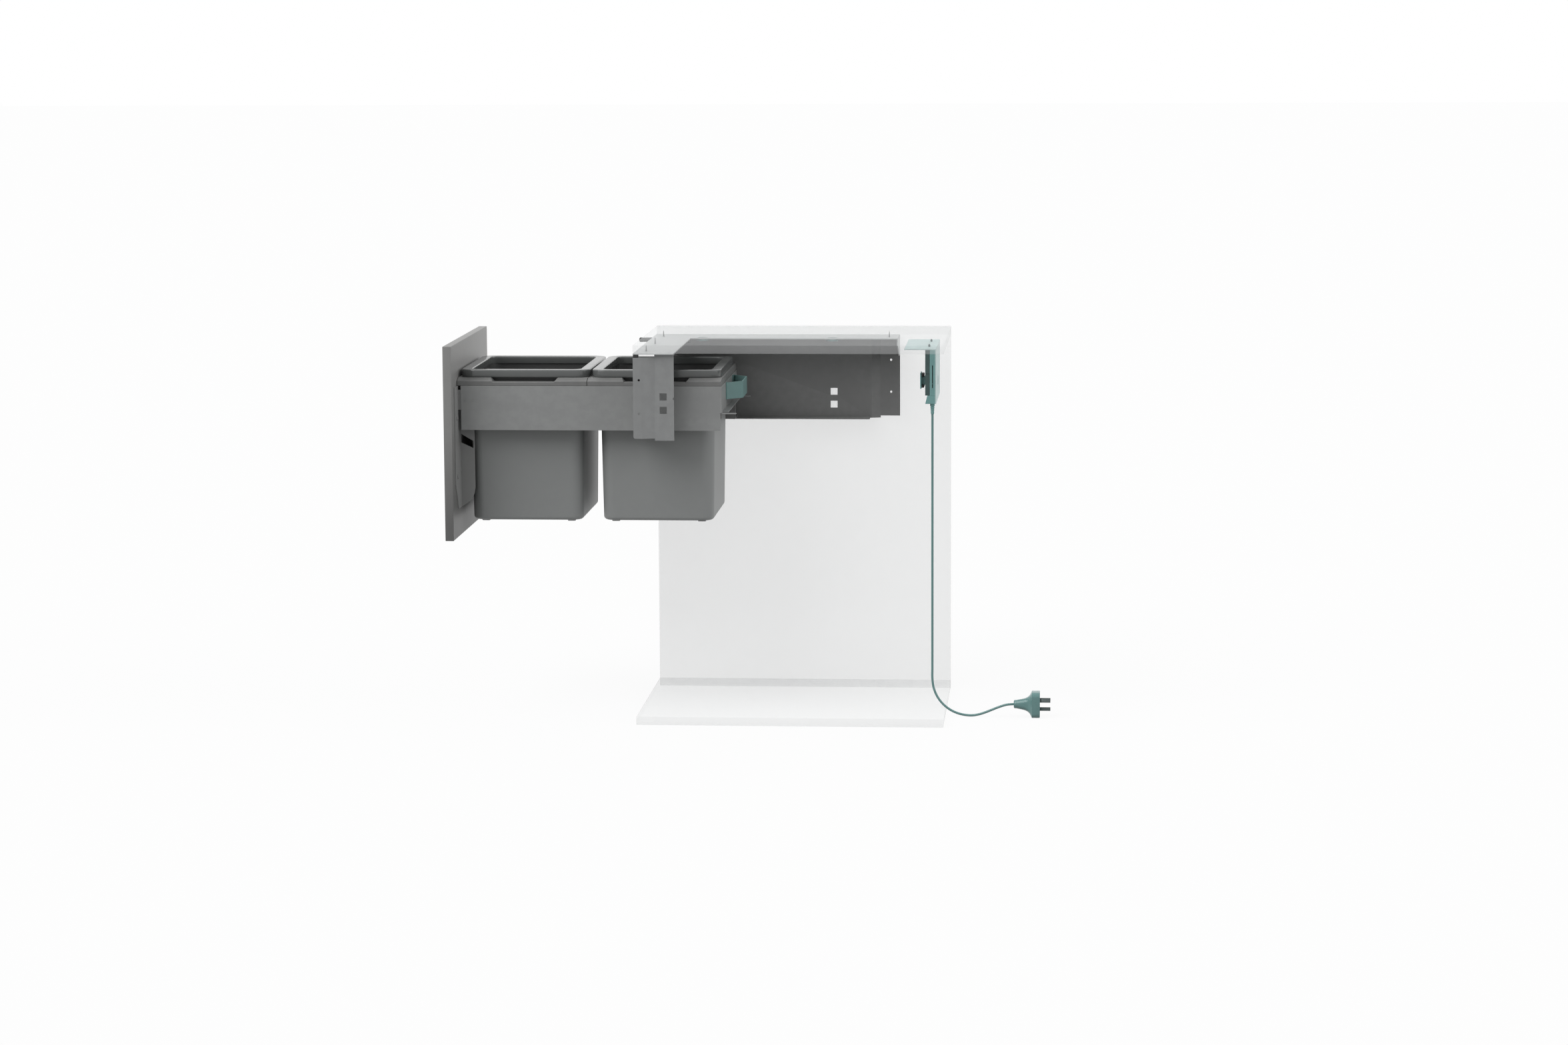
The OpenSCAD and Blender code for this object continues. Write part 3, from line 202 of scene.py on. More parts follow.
def rounded_rings(length, width, radius, height, steps=8):
    """Rings of rounded rectangles: each corner's centre lies a radius inside both sides,
    and its points are that centre plus the radius times the cosine and sine of an angle
    that runs a quarter turn. All four values are arrays, one entry for each ring."""
    length, width, radius, height = np.broadcast_arrays(
        *[np.atleast_1d(np.asarray(v, float)) for v in (length, width, radius, height)])
    angle = np.arange(4)[:, None] * np.pi / 2 + np.linspace(0, np.pi / 2, steps + 1)
    sx = np.array([1, -1, -1, 1])[None, :, None]
    sy = np.array([1, 1, -1, -1])[None, :, None]
    x = sx * (length / 2 - radius)[:, None, None] + radius[:, None, None] * np.cos(angle)
    y = sy * (width / 2 - radius)[:, None, None] + radius[:, None, None] * np.sin(angle)
    z = np.broadcast_to(height[:, None, None], x.shape)
    return np.stack([x, y, z], -1).reshape(len(length), -1, 3)


def round_block(low, high, edge, steps=3):
    """A block with edges and corners rounded by a radius. Its rings draw in by the
    radius times one less the cosine of an angle, and rise by the radius times the sine."""
    low, high = np.asarray(low, float), np.asarray(high, float)
    mid, size = (low + high) / 2, high - low
    turn = np.linspace(0, np.pi / 2, steps + 1)
    draw_in = edge * (1 - np.cos(turn))
    draw_in = np.concatenate([draw_in[::-1], draw_in])
    rise = edge * np.sin(turn)
    height = np.concatenate([low[2] + edge - rise[::-1], high[2] - edge + rise])
    rings = rounded_rings(size[0] - 2 * draw_in, size[1] - 2 * draw_in,
                          np.maximum(edge - draw_in, 1e-6), height, steps)
    rings[..., :2] += mid[:2]
    return shell(rings)


def turned(radius, along, place, axis, sides=32):
    """A turned form round an axis through a place: points at radius times the cosine and
    sine of an angle, and at the distances along the axis."""
    axis = np.asarray(axis, float)
    side = np.array([axis[1], axis[2], axis[0]])
    other = np.cross(axis, side)
    angle = np.arange(sides) * 2 * np.pi / sides
    round_it = np.cos(angle)[:, None] * side + np.sin(angle)[:, None] * other
    radius, along = np.asarray(radius, float), np.asarray(along, float)
    rings = (np.asarray(place, float) + along[:, None, None] * axis
             + radius[:, None, None] * round_it)
    return shell(rings)


def joined(parts):
    """One set of vertices and faces from several."""
    verts, faces, start = [], [], 0
    for points, polygons in parts:
        verts.append(points)
        faces += [[index + start for index in polygon] for polygon in polygons]
        start += len(points)
    return np.concatenate(verts), faces


def smooth_curve(points, steps):
    """A Catmull-Rom curve through points: on each span the cubic that passes both ends
    with half the chord of their neighbours as its slopes."""
    before, after = 2 * points[0] - points[1], 2 * points[-1] - points[-2]
    ends = np.concatenate([[before], points, [after]])
    a, b, c, d = ends[:-3], ends[1:-2], ends[2:-1], ends[3:]
    t = (np.arange(steps) / steps)[None, :, None]
    a, b, c, d = (v[:, None, :] for v in (a, b, c, d))
    spans = 0.5 * (2 * b + (c - a) * t + (2 * a - 5 * b + 4 * c - d) * t ** 2
                   + (3 * b - a - 3 * c + d) * t ** 3)
    return np.concatenate([spans.reshape(-1, points.shape[1]), points[-1:]])


def tube(path, radius, sides=20):
    """A tube round a path that lies in one plane across Y: points at the radius times the
    cosine of an angle along the plane's normal and its sine along the path's own."""
    along = np.gradient(path, axis=0)
    along /= np.linalg.norm(along, axis=1)[:, None]
    out = np.array([0.0, 1.0, 0.0])
    up = np.cross(along, out)
    angle = np.arange(sides) * 2 * np.pi / sides
    rings = path[:, None, :] + radius * (
        np.cos(angle)[None, :, None] * out + np.sin(angle)[None, :, None] * up[:, None, :])
    return shell(rings)


# Pieces


def smooth(mesh, angle):
    """Shades a mesh smooth, apart from folds steeper than an angle in degrees."""
    mesh.polygons.foreach_set("use_smooth", np.ones(len(mesh.polygons), bool))
    mesh.set_sharp_from_angle(angle=np.radians(angle))


def linked(name, data):
    """A new object in the scene, of a mesh, a lamp or a camera."""
    thing = bpy.data.objects.new(name, data)
    bpy.context.scene.collection.objects.link(thing)
    return thing


def clean(mesh, angle):
    """Merges doubled points, turns the faces outwards and keeps only folds sharp."""
    work = bmesh.new()
    work.from_mesh(mesh)
    bmesh.ops.remove_doubles(work, verts=work.verts, dist=MERGE_MADE)
    bmesh.ops.recalc_face_normals(work, faces=work.faces)
    work.to_mesh(mesh)
    work.free()
    smooth(mesh, angle)


def settle(piece, material, nodes):
    """Gives a piece its material and the body of the nodes it replaces, and hides those
    nodes.
    """
    piece.data.materials.clear()
    piece.data.materials.append(material)
    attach(piece, NODE_BODY[nodes[0]])
    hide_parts(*nodes)
    return piece


def make_piece(name, form, material, nodes, angle=40):
    """A new piece from vertices and faces, with folds steeper than the angle sharp."""
    verts, faces = form
    mesh = bpy.data.meshes.new(name)
    mesh.from_pydata(verts.tolist(), [], faces)
    clean(mesh, angle)
    return settle(linked(name, mesh), material, nodes)


def soften(name, nodes, edge, material):
    """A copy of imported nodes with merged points, whole flat faces and rounded edges."""
    work = bmesh.new()
    for node in nodes:
        mesh = frame["nodes"][node].data.copy()
        mesh.transform(frame["nodes"][node].matrix_world)
        work.from_mesh(mesh)
        bpy.data.meshes.remove(mesh)
    bmesh.ops.remove_doubles(work, verts=work.verts, dist=MERGE_PACKED)
    bmesh.ops.dissolve_limit(work, angle_limit=np.radians(FLAT_FOLD), verts=work.verts,
                             edges=work.edges)
    mesh = bpy.data.meshes.new(name)
    work.to_mesh(mesh)
    work.free()
    smooth(mesh, SHARP_FOLD)
    piece = linked(name, mesh)
    bevel = piece.modifiers.new("Rounded edges", "BEVEL")
    bevel.width = edge
    bevel.segments = ROUNDING_STEPS
    bevel.limit_method = "ANGLE"
    bevel.angle_limit = np.radians(ROUNDED_FOLD)
    bevel.use_clamp_overlap = True
    even = piece.modifiers.new("Even shading", "WEIGHTED_NORMAL")
    even.keep_sharp = True
    return settle(piece, material, nodes)


def paint(material, *nodes):
    """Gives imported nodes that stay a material."""
    for node in nodes:
        for material_slot in frame["nodes"][node].material_slots:
            material_slot.material = material


# Finishes


def add_node(tree, kind, inputs=(), **settings):
    """Adds a node, sets its settings, and fills inputs with values or links."""
    node = tree.nodes.new(kind)
    for key, value in settings.items():
        setattr(node, key, value)
    for key, value in dict(inputs).items():
        if isinstance(value, bpy.types.NodeSocket):
            tree.links.new(value, node.inputs[key])
        else:
            node.inputs[key].default_value = value
    return node


def calculate(tree, operation, first, second):
    """The output of a math node on two values or sockets."""
    return add_node(tree, "ShaderNodeMath", {0: first, 1: second},
                    operation=operation).outputs[0]


def spread(tree, value, low, high, new_low, new_high):
    """A value mapped from one range to another and held within it."""
    return add_node(tree, "ShaderNodeMapRange",
                    {0: value, 1: low, 2: high, 3: new_low, 4: new_high}).outputs[0]


def noise(tree, vector, scale, detail=3.0):
    """The factor of a noise texture."""
    return add_node(tree, "ShaderNodeTexNoise",
                    {"Vector": vector, "Scale": scale, "Detail": detail}).outputs["Fac"]


def new_group(name, inputs, outputs):
    """An empty shader group with named sockets, and its input and output nodes."""
    tree = bpy.data.node_groups.new(name, "ShaderNodeTree")
    for label, kind, value in inputs:
        socket = tree.interface.new_socket(label, in_out="INPUT", socket_type=kind)
        if value is not None:
            socket.default_value = value
    for label, kind in outputs:
        tree.interface.new_socket(label, in_out="OUTPUT", socket_type=kind)
    entry = tree.nodes.new("NodeGroupInput").outputs
    leave = tree.nodes.new("NodeGroupOutput").inputs
    return tree, entry, leave


VECTOR, COLOUR, VALUE = "NodeSocketVector", "NodeSocketColor", "NodeSocketFloat"
GREY = (0.5, 0.5, 0.5, 1)
DUST = (0.6, 0.59, 0.57, 1)
# How much lighter standing edges turn, partly as worn paint and partly as a painted
# highlight
WORN_AND_HIGHLIGHT_GAIN = 1.5
BUMP_DISTANCE = 0.0004
NOISE_RANGE = (0.3, 0.7)


def mottle_group():
    """Soft unevenness: a slow noise and a quick one lighten and darken a colour."""
    tree, entry, leave = new_group(
        "Soft mottle",
        [("Vector", VECTOR, None), ("Colour", COLOUR, GREY), ("Scale", VALUE, 9.0),
         ("Amount", VALUE, 0.05)],
        [("Colour", COLOUR), ("Pattern", VALUE)])
    quick_scale = calculate(tree, "MULTIPLY", entry["Scale"], 9.0)
    slow = calculate(tree, "MULTIPLY", noise(tree, entry["Vector"], entry["Scale"]), 0.65)
    quick = calculate(tree, "MULTIPLY", noise(tree, entry["Vector"], quick_scale), 0.35)
    pattern = calculate(tree, "ADD", slow, quick)
    gain = spread(tree, pattern, *NOISE_RANGE,
                  calculate(tree, "SUBTRACT", 1.0, entry["Amount"]),
                  calculate(tree, "ADD", 1.0, entry["Amount"]))
    scaled = add_node(tree, "ShaderNodeVectorMath", {0: entry["Colour"], "Scale": gain},
                      operation="SCALE")
    tree.links.new(scaled.outputs[0], leave["Colour"])
    tree.links.new(pattern, leave["Pattern"])
    return tree


def grain_group():
    """Moulded grain: a fine noise over small round cells."""
    tree, entry, leave = new_group(
        "Moulded grain", [("Vector", VECTOR, None), ("Scale", VALUE, 900.0)],
        [("Height", VALUE)])
    cells = add_node(tree, "ShaderNodeTexVoronoi",
                     {"Vector": entry["Vector"], "Scale": entry["Scale"]},
                     feature="SMOOTH_F1").outputs["Distance"]
    fine = noise(tree, entry["Vector"], calculate(tree, "MULTIPLY", entry["Scale"], 1.7))
    tree.links.new(calculate(tree, "ADD", cells, fine), leave["Height"])
    return tree


def tint(tree, entry, leave, mask, other):
    """Mixes a group's colour with another of its inputs, by a mask times its amount."""
    amount = calculate(tree, "MULTIPLY", mask, entry["Amount"])
    mix = add_node(tree, "ShaderNodeMix", {0: amount, 6: entry["Colour"], 7: entry[other]},
                   data_type="RGBA")
    tree.links.new(mix.outputs[2], leave["Colour"])


def wear_and_highlight_group():
    """Worn and highlighted edges: the points that stand out take a lighter colour, in
    broken patches, partly as worn paint and partly as a painted highlight.
    """
    tree, entry, leave = new_group(
        "Worn and highlighted edges",
        [("Vector", VECTOR, None), ("Colour", COLOUR, GREY), ("Worn and highlight colour", COLOUR, GREY),
         ("Amount", VALUE, 0.3)],
        [("Colour", COLOUR)])
    point = add_node(tree, "ShaderNodeNewGeometry").outputs["Pointiness"]
    edge = spread(tree, point, 0.505, 0.56, 0.0, 1.0)
    patch = spread(tree, noise(tree, entry["Vector"], 70.0), 0.35, 0.65, 0.3, 1.0)
    tint(tree, entry, leave, calculate(tree, "MULTIPLY", edge, patch), "Worn and highlight colour")
    return tree


def dust_group():
    """Settled dust: faces that look upwards take a paler colour, in soft clouds."""
    tree, entry, leave = new_group(
        "Settled dust",
        [("Vector", VECTOR, None), ("Colour", COLOUR, GREY), ("Dust colour", COLOUR, GREY),
         ("Amount", VALUE, 0.1)],
        [("Colour", COLOUR)])
    normal = add_node(tree, "ShaderNodeNewGeometry").outputs["Normal"]
    up = add_node(tree, "ShaderNodeSeparateXYZ", {0: normal}).outputs[2]
    facing = spread(tree, up, 0.6, 1.0, 0.0, 1.0)
    cloud = spread(tree, noise(tree, entry["Vector"], 24.0, 5.0), 0.4, 0.7, 0.2, 1.0)
    tint(tree, entry, leave, calculate(tree, "MULTIPLY", facing, cloud), "Dust colour")
    return tree


GROUP_MAKERS = {"Soft mottle": mottle_group, "Moulded grain": grain_group,
                "Worn and highlighted edges": wear_and_highlight_group, "Settled dust": dust_group}


def use_group(tree, name, inputs):
    """Places a shared group in a material, made the first time it is asked for."""
    group = bpy.data.node_groups.get(name) or GROUP_MAKERS[name]()
    return add_node(tree, "ShaderNodeGroup", inputs, node_tree=group).outputs


def new_material(name):
    """A material, its tree and shader, and the place on the object."""
    material = bpy.data.materials.new(name)
    material.use_nodes = True
    tree = material.node_tree
    place = add_node(tree, "ShaderNodeTexCoord").outputs["Object"]
    return material, tree, tree.nodes["Principled BSDF"], place


def surface(name, colour, roughness, swing=0.06, mottle=(9.0, 0.05), grain=(900.0, 0.12),
            wear_and_highlight=0.25, dust=0.06, metallic=0.0, stretch=(1, 1, 1), ior=1.47, painted_shade=None):
    """A coated, moulded or metal surface. Its colour is mottled, lighter at standing edges,
    partly as worn paint and partly as a painted highlight, and dusted; its roughness swings
    with the mottle and its grain is a bump. Mottle and grain are each a scale and an
    amount.
    Its last argument, two heights and a share, darkens the colour to that share between the
    heights as painted shade."""
    if name in bpy.data.materials:
        return bpy.data.materials[name]
    material, tree, shader, place = new_material(name)
    if stretch != (1, 1, 1):
        place = add_node(tree, "ShaderNodeMapping",
                         {"Vector": place, "Scale": stretch}).outputs[0]
    mottled = use_group(tree, "Soft mottle", {
        "Vector": place, "Colour": (*colour, 1), "Scale": mottle[0], "Amount": mottle[1]})
    # Standing edges turn lighter, partly as worn paint and partly as a painted highlight
    lighter = [min(1.0, channel * WORN_AND_HIGHLIGHT_GAIN) for channel in colour]
    edged = use_group(tree, "Worn and highlighted edges", {
        "Vector": place, "Colour": mottled["Colour"], "Worn and highlight colour": (*lighter, 1),
        "Amount": wear_and_highlight})
    dusted = use_group(tree, "Settled dust", {
        "Vector": place, "Colour": edged["Colour"], "Dust colour": DUST,
        "Amount": dust})
    base = dusted["Colour"]
    # Painted shade: the colour darkens between two heights to a share of itself
    if painted_shade:
        height = add_node(tree, "ShaderNodeSeparateXYZ", {0: place}).outputs[2]
        share = spread(tree, height, painted_shade[0], painted_shade[1], 1.0, painted_shade[2])
        base = add_node(tree, "ShaderNodeVectorMath", {0: base, "Scale": share},
                        operation="SCALE").outputs[0]
    tree.links.new(base, shader.inputs["Base Color"])
    tree.links.new(spread(tree, mottled["Pattern"], *NOISE_RANGE, roughness - swing,
                          roughness + swing), shader.inputs["Roughness"])
    height = use_group(tree, "Moulded grain", {"Vector": place, "Scale": grain[0]})
    bump = add_node(tree, "ShaderNodeBump", {
        "Height": height["Height"], "Strength": grain[1], "Distance": BUMP_DISTANCE})
    tree.links.new(bump.outputs[0], shader.inputs["Normal"])
    shader.inputs["Metallic"].default_value = metallic
    shader.inputs["IOR"].default_value = ior
    return material


def clear_panel(name, colour):
    """Translucent white board: a veil over what lies behind it, as strong as the
    attribute called veil says, with a faint cloudiness and a satin face."""
    if name in bpy.data.materials:
        return bpy.data.materials[name]
    material, tree, shader, place = new_material(name)
    mottled = use_group(tree, "Soft mottle", {
        "Vector": place, "Colour": (*colour, 1), "Scale": 3.0, "Amount": 0.015})
    tree.links.new(mottled["Colour"], shader.inputs["Base Color"])
    veil = add_node(tree, "ShaderNodeAttribute", attribute_name="veil").outputs["Fac"]
    cloud = spread(tree, mottled["Pattern"], *NOISE_RANGE, 0.96, 1.04)
    tree.links.new(calculate(tree, "MULTIPLY", veil, cloud), shader.inputs["Alpha"])
    tree.links.new(spread(tree, mottled["Pattern"], *NOISE_RANGE, 0.4, 0.5),
                   shader.inputs["Roughness"])
    shader.inputs["IOR"].default_value = 1.3
    return material


# Finishes by slot, and some that a piece wears in place of its slot's
FINISHES = {
    "frame_steel": lambda: surface(
        "Grey coated steel", colours().steel, 0.42, swing=0.02, grain=(700.0, 0.10),
        mottle=(7.0, 0.02)),
    # Top plate: frame steel about twice as light, as painted light on its upper face
    "lit_frame_steel": lambda: surface(
        "Pale grey coated steel", (0.53, 0.542, 0.54), 0.42, swing=0.02,
        grain=(700.0, 0.10), mottle=(7.0, 0.03)),
    # Far plate and far guide: frame steel darkened, as painted shade inside the cabinet
    "shaded_frame_steel": lambda: surface(
        "Dark grey coated steel", colours().shade, 0.46, grain=(700.0, 0.10),
        mottle=(6.0, 0.07)),
    "drawer_steel": lambda: surface(
        "Sliding frame steel", colours().drawer, 0.40, swing=0.02, grain=(800.0, 0.08),
        mottle=(5.0, 0.015)),
    # Door brackets and their screws: sliding frame steel a little darkened, as painted
    # shade beside the door and the bins
    "shaded_bracket_steel": lambda: surface(
        "Dark bracket steel", (0.25, 0.25, 0.247), 0.42, grain=(800.0, 0.08),
        mottle=(5.0, 0.03)),
    "zinc": lambda: surface(
        "Zinc plate", (0.30, 0.305, 0.305), 0.42, swing=0.10, mottle=(60.0, 0.10),
        metallic=0.6, wear_and_highlight=0.2, dust=0.0),
    "black_nylon": lambda: surface(
        "Black nylon", (0.022, 0.022, 0.022), 0.38, wear_and_highlight=0.1, dust=0.03),
    "black_rubber": lambda: surface(
        "Black rubber", (0.014, 0.014, 0.014), 0.62, wear_and_highlight=0.1, dust=0.05),
    "frame_plastic": lambda: surface(
        "Grained grey plastic", colours().moulding, 0.50, grain=(1100.0, 0.25),
        mottle=(8.0, 0.05)),
    # Bins: painted shade, darker from 0.56 m up to 0.63 m, where the necks sit under the
    # frames and the insides lie in shadow
    "bin_plastic": lambda: surface(
        "Bin plastic", colours().bins, 0.45, swing=0.02, grain=(1000.0, 0.16),
        mottle=(4.0, 0.03), painted_shade=(0.56, 0.63, 0.2)),
    "rim_plastic": lambda: surface(
        "Satin rim plastic", colours().rims, 0.17, swing=0.03, grain=(1200.0, 0.06),
        mottle=(8.0, 0.02), ior=1.52),
    # Door: painted shade, darker from 0.56 m down to 0.38 m, where its lower part lies in
    # shadow under the sliding frame and beside the bins
    "door_board": lambda: surface(
        "Grey lacquered board", colours().door, 0.44, swing=0.02, grain=(500.0, 0.06),
        mottle=(3.0, 0.015), wear_and_highlight=0.15, painted_shade=(0.56, 0.38, 0.54)),
    "teal_steel": lambda: surface(
        "Teal coated steel", (0.155, 0.27, 0.26), 0.42, grain=(900.0, 0.14)),
    "teal_plastic": lambda: surface(
        "Teal plastic", (0.175, 0.345, 0.335), 0.36, grain=(1300.0, 0.12)),
    # Pusher: the opener's teal plastic lightened, as painted light on the pusher
    "lit_teal_plastic": lambda: surface(
        "Bright teal plastic", (0.235, 0.455, 0.442), 0.36, grain=(1300.0, 0.12)),
    "dark_teal": lambda: surface(
        "Dark teal plastic", (0.042, 0.078, 0.075), 0.40, grain=(1300.0, 0.16)),
    "teal_pale": lambda: surface(
        "Pale teal coated steel", colours().pale_teal, 0.42, grain=(900.0, 0.10)),
    "motor_can": lambda: surface(
        "Drawn motor can", (0.42, 0.42, 0.43), 0.30, metallic=1.0, mottle=(90.0, 0.08),
        stretch=(1, 1, 0.04), dust=0.0),
    "brass_gear": lambda: surface(
        "Cut brass", (0.62, 0.46, 0.20), 0.30, metallic=1.0, mottle=(120.0, 0.08),
        dust=0.0),
    "circuit_board": lambda: surface(
        "Green solder mask", (0.03, 0.12, 0.06), 0.30, mottle=(160.0, 0.25)),
    "module_case": lambda: surface(
        "Dark module case", (0.03, 0.032, 0.034), 0.45, grain=(900.0, 0.2)),
    "teal_cord": lambda: surface(
        "Teal cord jacket", colours().teal, 0.20, swing=0.03, grain=(1500.0, 0.06),
        wear_and_highlight=0.0),
    # Pins: metal darkened and tinted teal, as painted shade and a painted reflection of the
    # plug
    "pin_metal": lambda: surface(
        "Dark pin metal", (0.085, 0.105, 0.105), 0.30, metallic=0.4, mottle=(70.0, 0.08),
        stretch=(0.1, 1, 1), dust=0.0),
    "ghost_panel": lambda: clear_panel("Translucent white board", colours().panel),
}


def finish(slot):
    """The material of a slot or a finish by name."""
    return FINISHES[slot]()


def soft(name, *nodes, edge=None, as_finish=None):
    """A softened copy of nodes in their slot's finish."""
    edge = sizes().sheet_edge if edge is None else edge
    return soften(name, nodes, edge, finish(as_finish or NODE_SLOT[nodes[0]]))


# Operators


class CABINET_OT_stage(bpy.types.Operator):
    """Plain pale floor, soft light and the camera"""

    bl_idname = "cabinet.stage"
    bl_label = "Stage"

    def execute(self, context):
        scene = context.scene
        scene.view_settings.view_transform = "Standard"
        mesh = bpy.data.meshes.new("floor")
        corners = np.array([[-1, -1], [1, -1], [1, 1], [-1, 1]]) * FLOOR_REACH
        mesh.from_pydata([(x, y, -FLOOR_DROP) for x, y in corners], [], [(0, 1, 2, 3)])
        floor = linked("floor", mesh)
        mesh.materials.append(self.floor_paint())
        scene.world = bpy.data.worlds.new("Pale room")
        self.light_world(scene.world)
        # Each lamp's name, strength, disc in radians and the side it shines from
        for name, energy, angle, source in (
                ("Key light", 2.25, 0.9, (-0.55, -0.40, 0.73)),
                ("Fill light", 1.0, 0.8, (0.90, -0.15, 0.42))):
            lamp = bpy.data.lights.new(name, "SUN")
            lamp.energy = energy
            lamp.angle = angle
            light = linked(name, lamp)
            light.rotation_euler = Vector(source).to_track_quat("Z", "Y").to_euler()
        camera = linked("Camera", bpy.data.cameras.new("Camera"))
        camera.location = CAMERA_PLACE
        camera.rotation_euler = Euler(np.radians(CAMERA_TURN))
        camera.data.lens = CAMERA_LENS
        camera.data.sensor_width = CAMERA_SENSOR
        camera.data.sensor_fit = "HORIZONTAL"
        camera.data.clip_end = CAMERA_REACH
        scene.camera = camera
        return {"FINISHED"}

    def seen_rays(self, tree):
        """One for rays from the camera, in mirrors and through glass, else zero."""
        path = add_node(tree, "ShaderNodeLightPath").outputs
        both = calculate(tree, "MAXIMUM", path["Is Camera Ray"], path["Is Glossy Ray"])
        return calculate(tree, "MAXIMUM", both, path["Is Transmission Ray"])

    def floor_paint(self):
        """White to the camera with a faint shadow, mid grey to the light it returns."""
        material = bpy.data.materials.new("Pale floor")
        material.use_nodes = True
        tree = material.node_tree
        tree.nodes.clear()
        matt = add_node(tree, "ShaderNodeBsdfDiffuse", {"Color": (0.3, 0.3, 0.3, 1)})
        pale = add_node(tree, "ShaderNodeBsdfDiffuse", {"Color": (0.8, 0.8, 0.8, 1)})
        white = add_node(tree, "ShaderNodeEmission", {"Strength": 1.0})
        shown = add_node(tree, "ShaderNodeMixShader",
                         {0: FLOOR_WHITE, 1: pale.outputs[0], 2: white.outputs[0]})
        mix = add_node(tree, "ShaderNodeMixShader",
                       {0: self.seen_rays(tree), 1: matt.outputs[0], 2: shown.outputs[0]})
        add_node(tree, "ShaderNodeOutputMaterial", {"Surface": mix.outputs[0]})
        return material

    def light_world(self, world):
        """White to the camera and in mirrors, a dimmer even sky to all else."""
        world.use_nodes = True
        tree = world.node_tree
        tree.nodes.clear()
        sky = add_node(tree, "ShaderNodeBackground",
                       {"Color": (0.97, 0.99, 1.0, 1), "Strength": SKY_STRENGTH})
        white = add_node(tree, "ShaderNodeBackground",
                         {"Color": (1, 1, 1, 1), "Strength": 1.0})
        mix = add_node(tree, "ShaderNodeMixShader",
                       {0: self.seen_rays(tree), 1: sky.outputs[0], 2: white.outputs[0]})
        add_node(tree, "ShaderNodeOutputWorld", {"Surface": mix.outputs[0]})


class CABINET_OT_cord(bpy.types.Operator):
    """Mains cord from the gland down to the floor, with its gland, plug and pins"""

    bl_idname = "cabinet.cord"
    bl_label = "Cord and plug"

    def execute(self, context):
        drop = np.stack([np.full(CORD_PARTS, CORD_X),
                         np.linspace(CORD_TOP, CORD_TURN, CORD_PARTS)], 1)
        route = smooth_curve(np.concatenate([drop, CORD_BEND + [CORD_X, 0]]), CORD_STEPS)
        path = np.stack([route[:, 0], np.full(len(route), CORD_Y), route[:, 1]], 1)
        cord = make_piece("cord_jacket", tube(path, sizes().cord_radius),
                          finish("teal_cord"), ["cord"], 60)
        plug = make_piece("plug_moulding", self.plug(), finish("teal_cord"),
                          ["plug_body"], 50)
        pins = make_piece("plug_blades", self.blades(), finish("pin_metal"),
                          ["plug_pins"], 50)
        self.gland()
        return {"FINISHED"}

    def plug(self):
        """The plug along X: its side is the neck plus the rest times a third of the way to
        the flange and two thirds of the way's sixth power, both ways, and its corners pass
        from a circle to the flange's. A sliver of straight side keeps corners apart."""
        neck, tall, wide, corner, sliver = 0.008, 0.049, 0.038, 0.009, 1e-5
        share = np.linspace(0, 1, 21)
        flare = (share + 2 * share ** 6) / 3
        start = np.array([0.0, 0.0006, 0.002])
        start_in = np.array([0.0022, 0.0008, 0.0])
        end = PLUG_NECK + PLUG_FLARE + PLUG_FLANGE * np.array([0.04, 0.93, 0.98, 1])
        end_in = np.array([0.0, 0.0, 0.0004, 0.0014])
        x = np.concatenate([start, PLUG_NECK + PLUG_FLARE * share, end])
        height, width = (
            np.concatenate([2 * (neck - start_in), 2 * neck + (side - 2 * neck) * flare,
                            side - 2 * end_in])
            for side in (tall, wide))
        radius = np.concatenate([neck - start_in - sliver,
                                 neck + (corner - neck) * share - sliver, corner - end_in])
        rings = rounded_rings(height, width, radius, x, 8)
        points = np.stack([rings[..., 2] + PLUG_X, rings[..., 1] + CORD_Y,
                           rings[..., 0] + PLUG_Z], -1)
        return shell(points)

    def blades(self):
        """Three flat blades with rounded ends, two of them turned thirty degrees. They
        start inside the flange."""
        start = PLUG_X + PLUG_NECK + PLUG_FLARE + PLUG_FLANGE
        length, tall, thick, edge, inside = 0.020, 0.007, 0.0016, 0.0006, 0.001
        parts = []
        for y, z, turn in ((-0.007, 0.008, -30), (0.007, 0.008, 30), (0.0, -0.009, 0)):
            verts, faces = round_block((start - inside, -thick / 2, -tall / 2),
                                       (start + length, thick / 2, tall / 2), edge)
            cos, sin = np.cos(np.radians(turn)), np.sin(np.radians(turn))
            spin = np.array([[1, 0, 0], [0, cos, -sin], [0, sin, cos]])
            parts.append((verts @ spin.T + [0, CORD_Y + y, PLUG_Z + z], faces))
        return joined(parts)

    def gland(self):
        """Turned strain relief: a collar, then rings that grow thinner with the cord."""
        along = np.array([0, 0, 4.6, 5.0, 5.4, 6.6, 7.0, 9.0, 9.4, 10.6, 11.0, 13.0, 13.4,
                          14.6, 15.0, 18.6, 19.6, 20.0, 20.0]) / 1000
        radius = np.array([0.2, 4.5, 4.5, 4.2, 3.3, 3.3, 4.1, 3.9, 3.1, 3.1, 3.7, 3.5, 2.9,
                           2.9, 3.4, 3.1, 2.9, 2.5, 0.2]) / 1000
        top = (CORD_X, CORD_Y, CORD_TOP + GLAND_LENGTH)
        make_piece("cord_strain_relief", turned(radius, along, top, (0, 0, -1), 28),
                   finish("teal_plastic"), ["cord_gland"], 50)


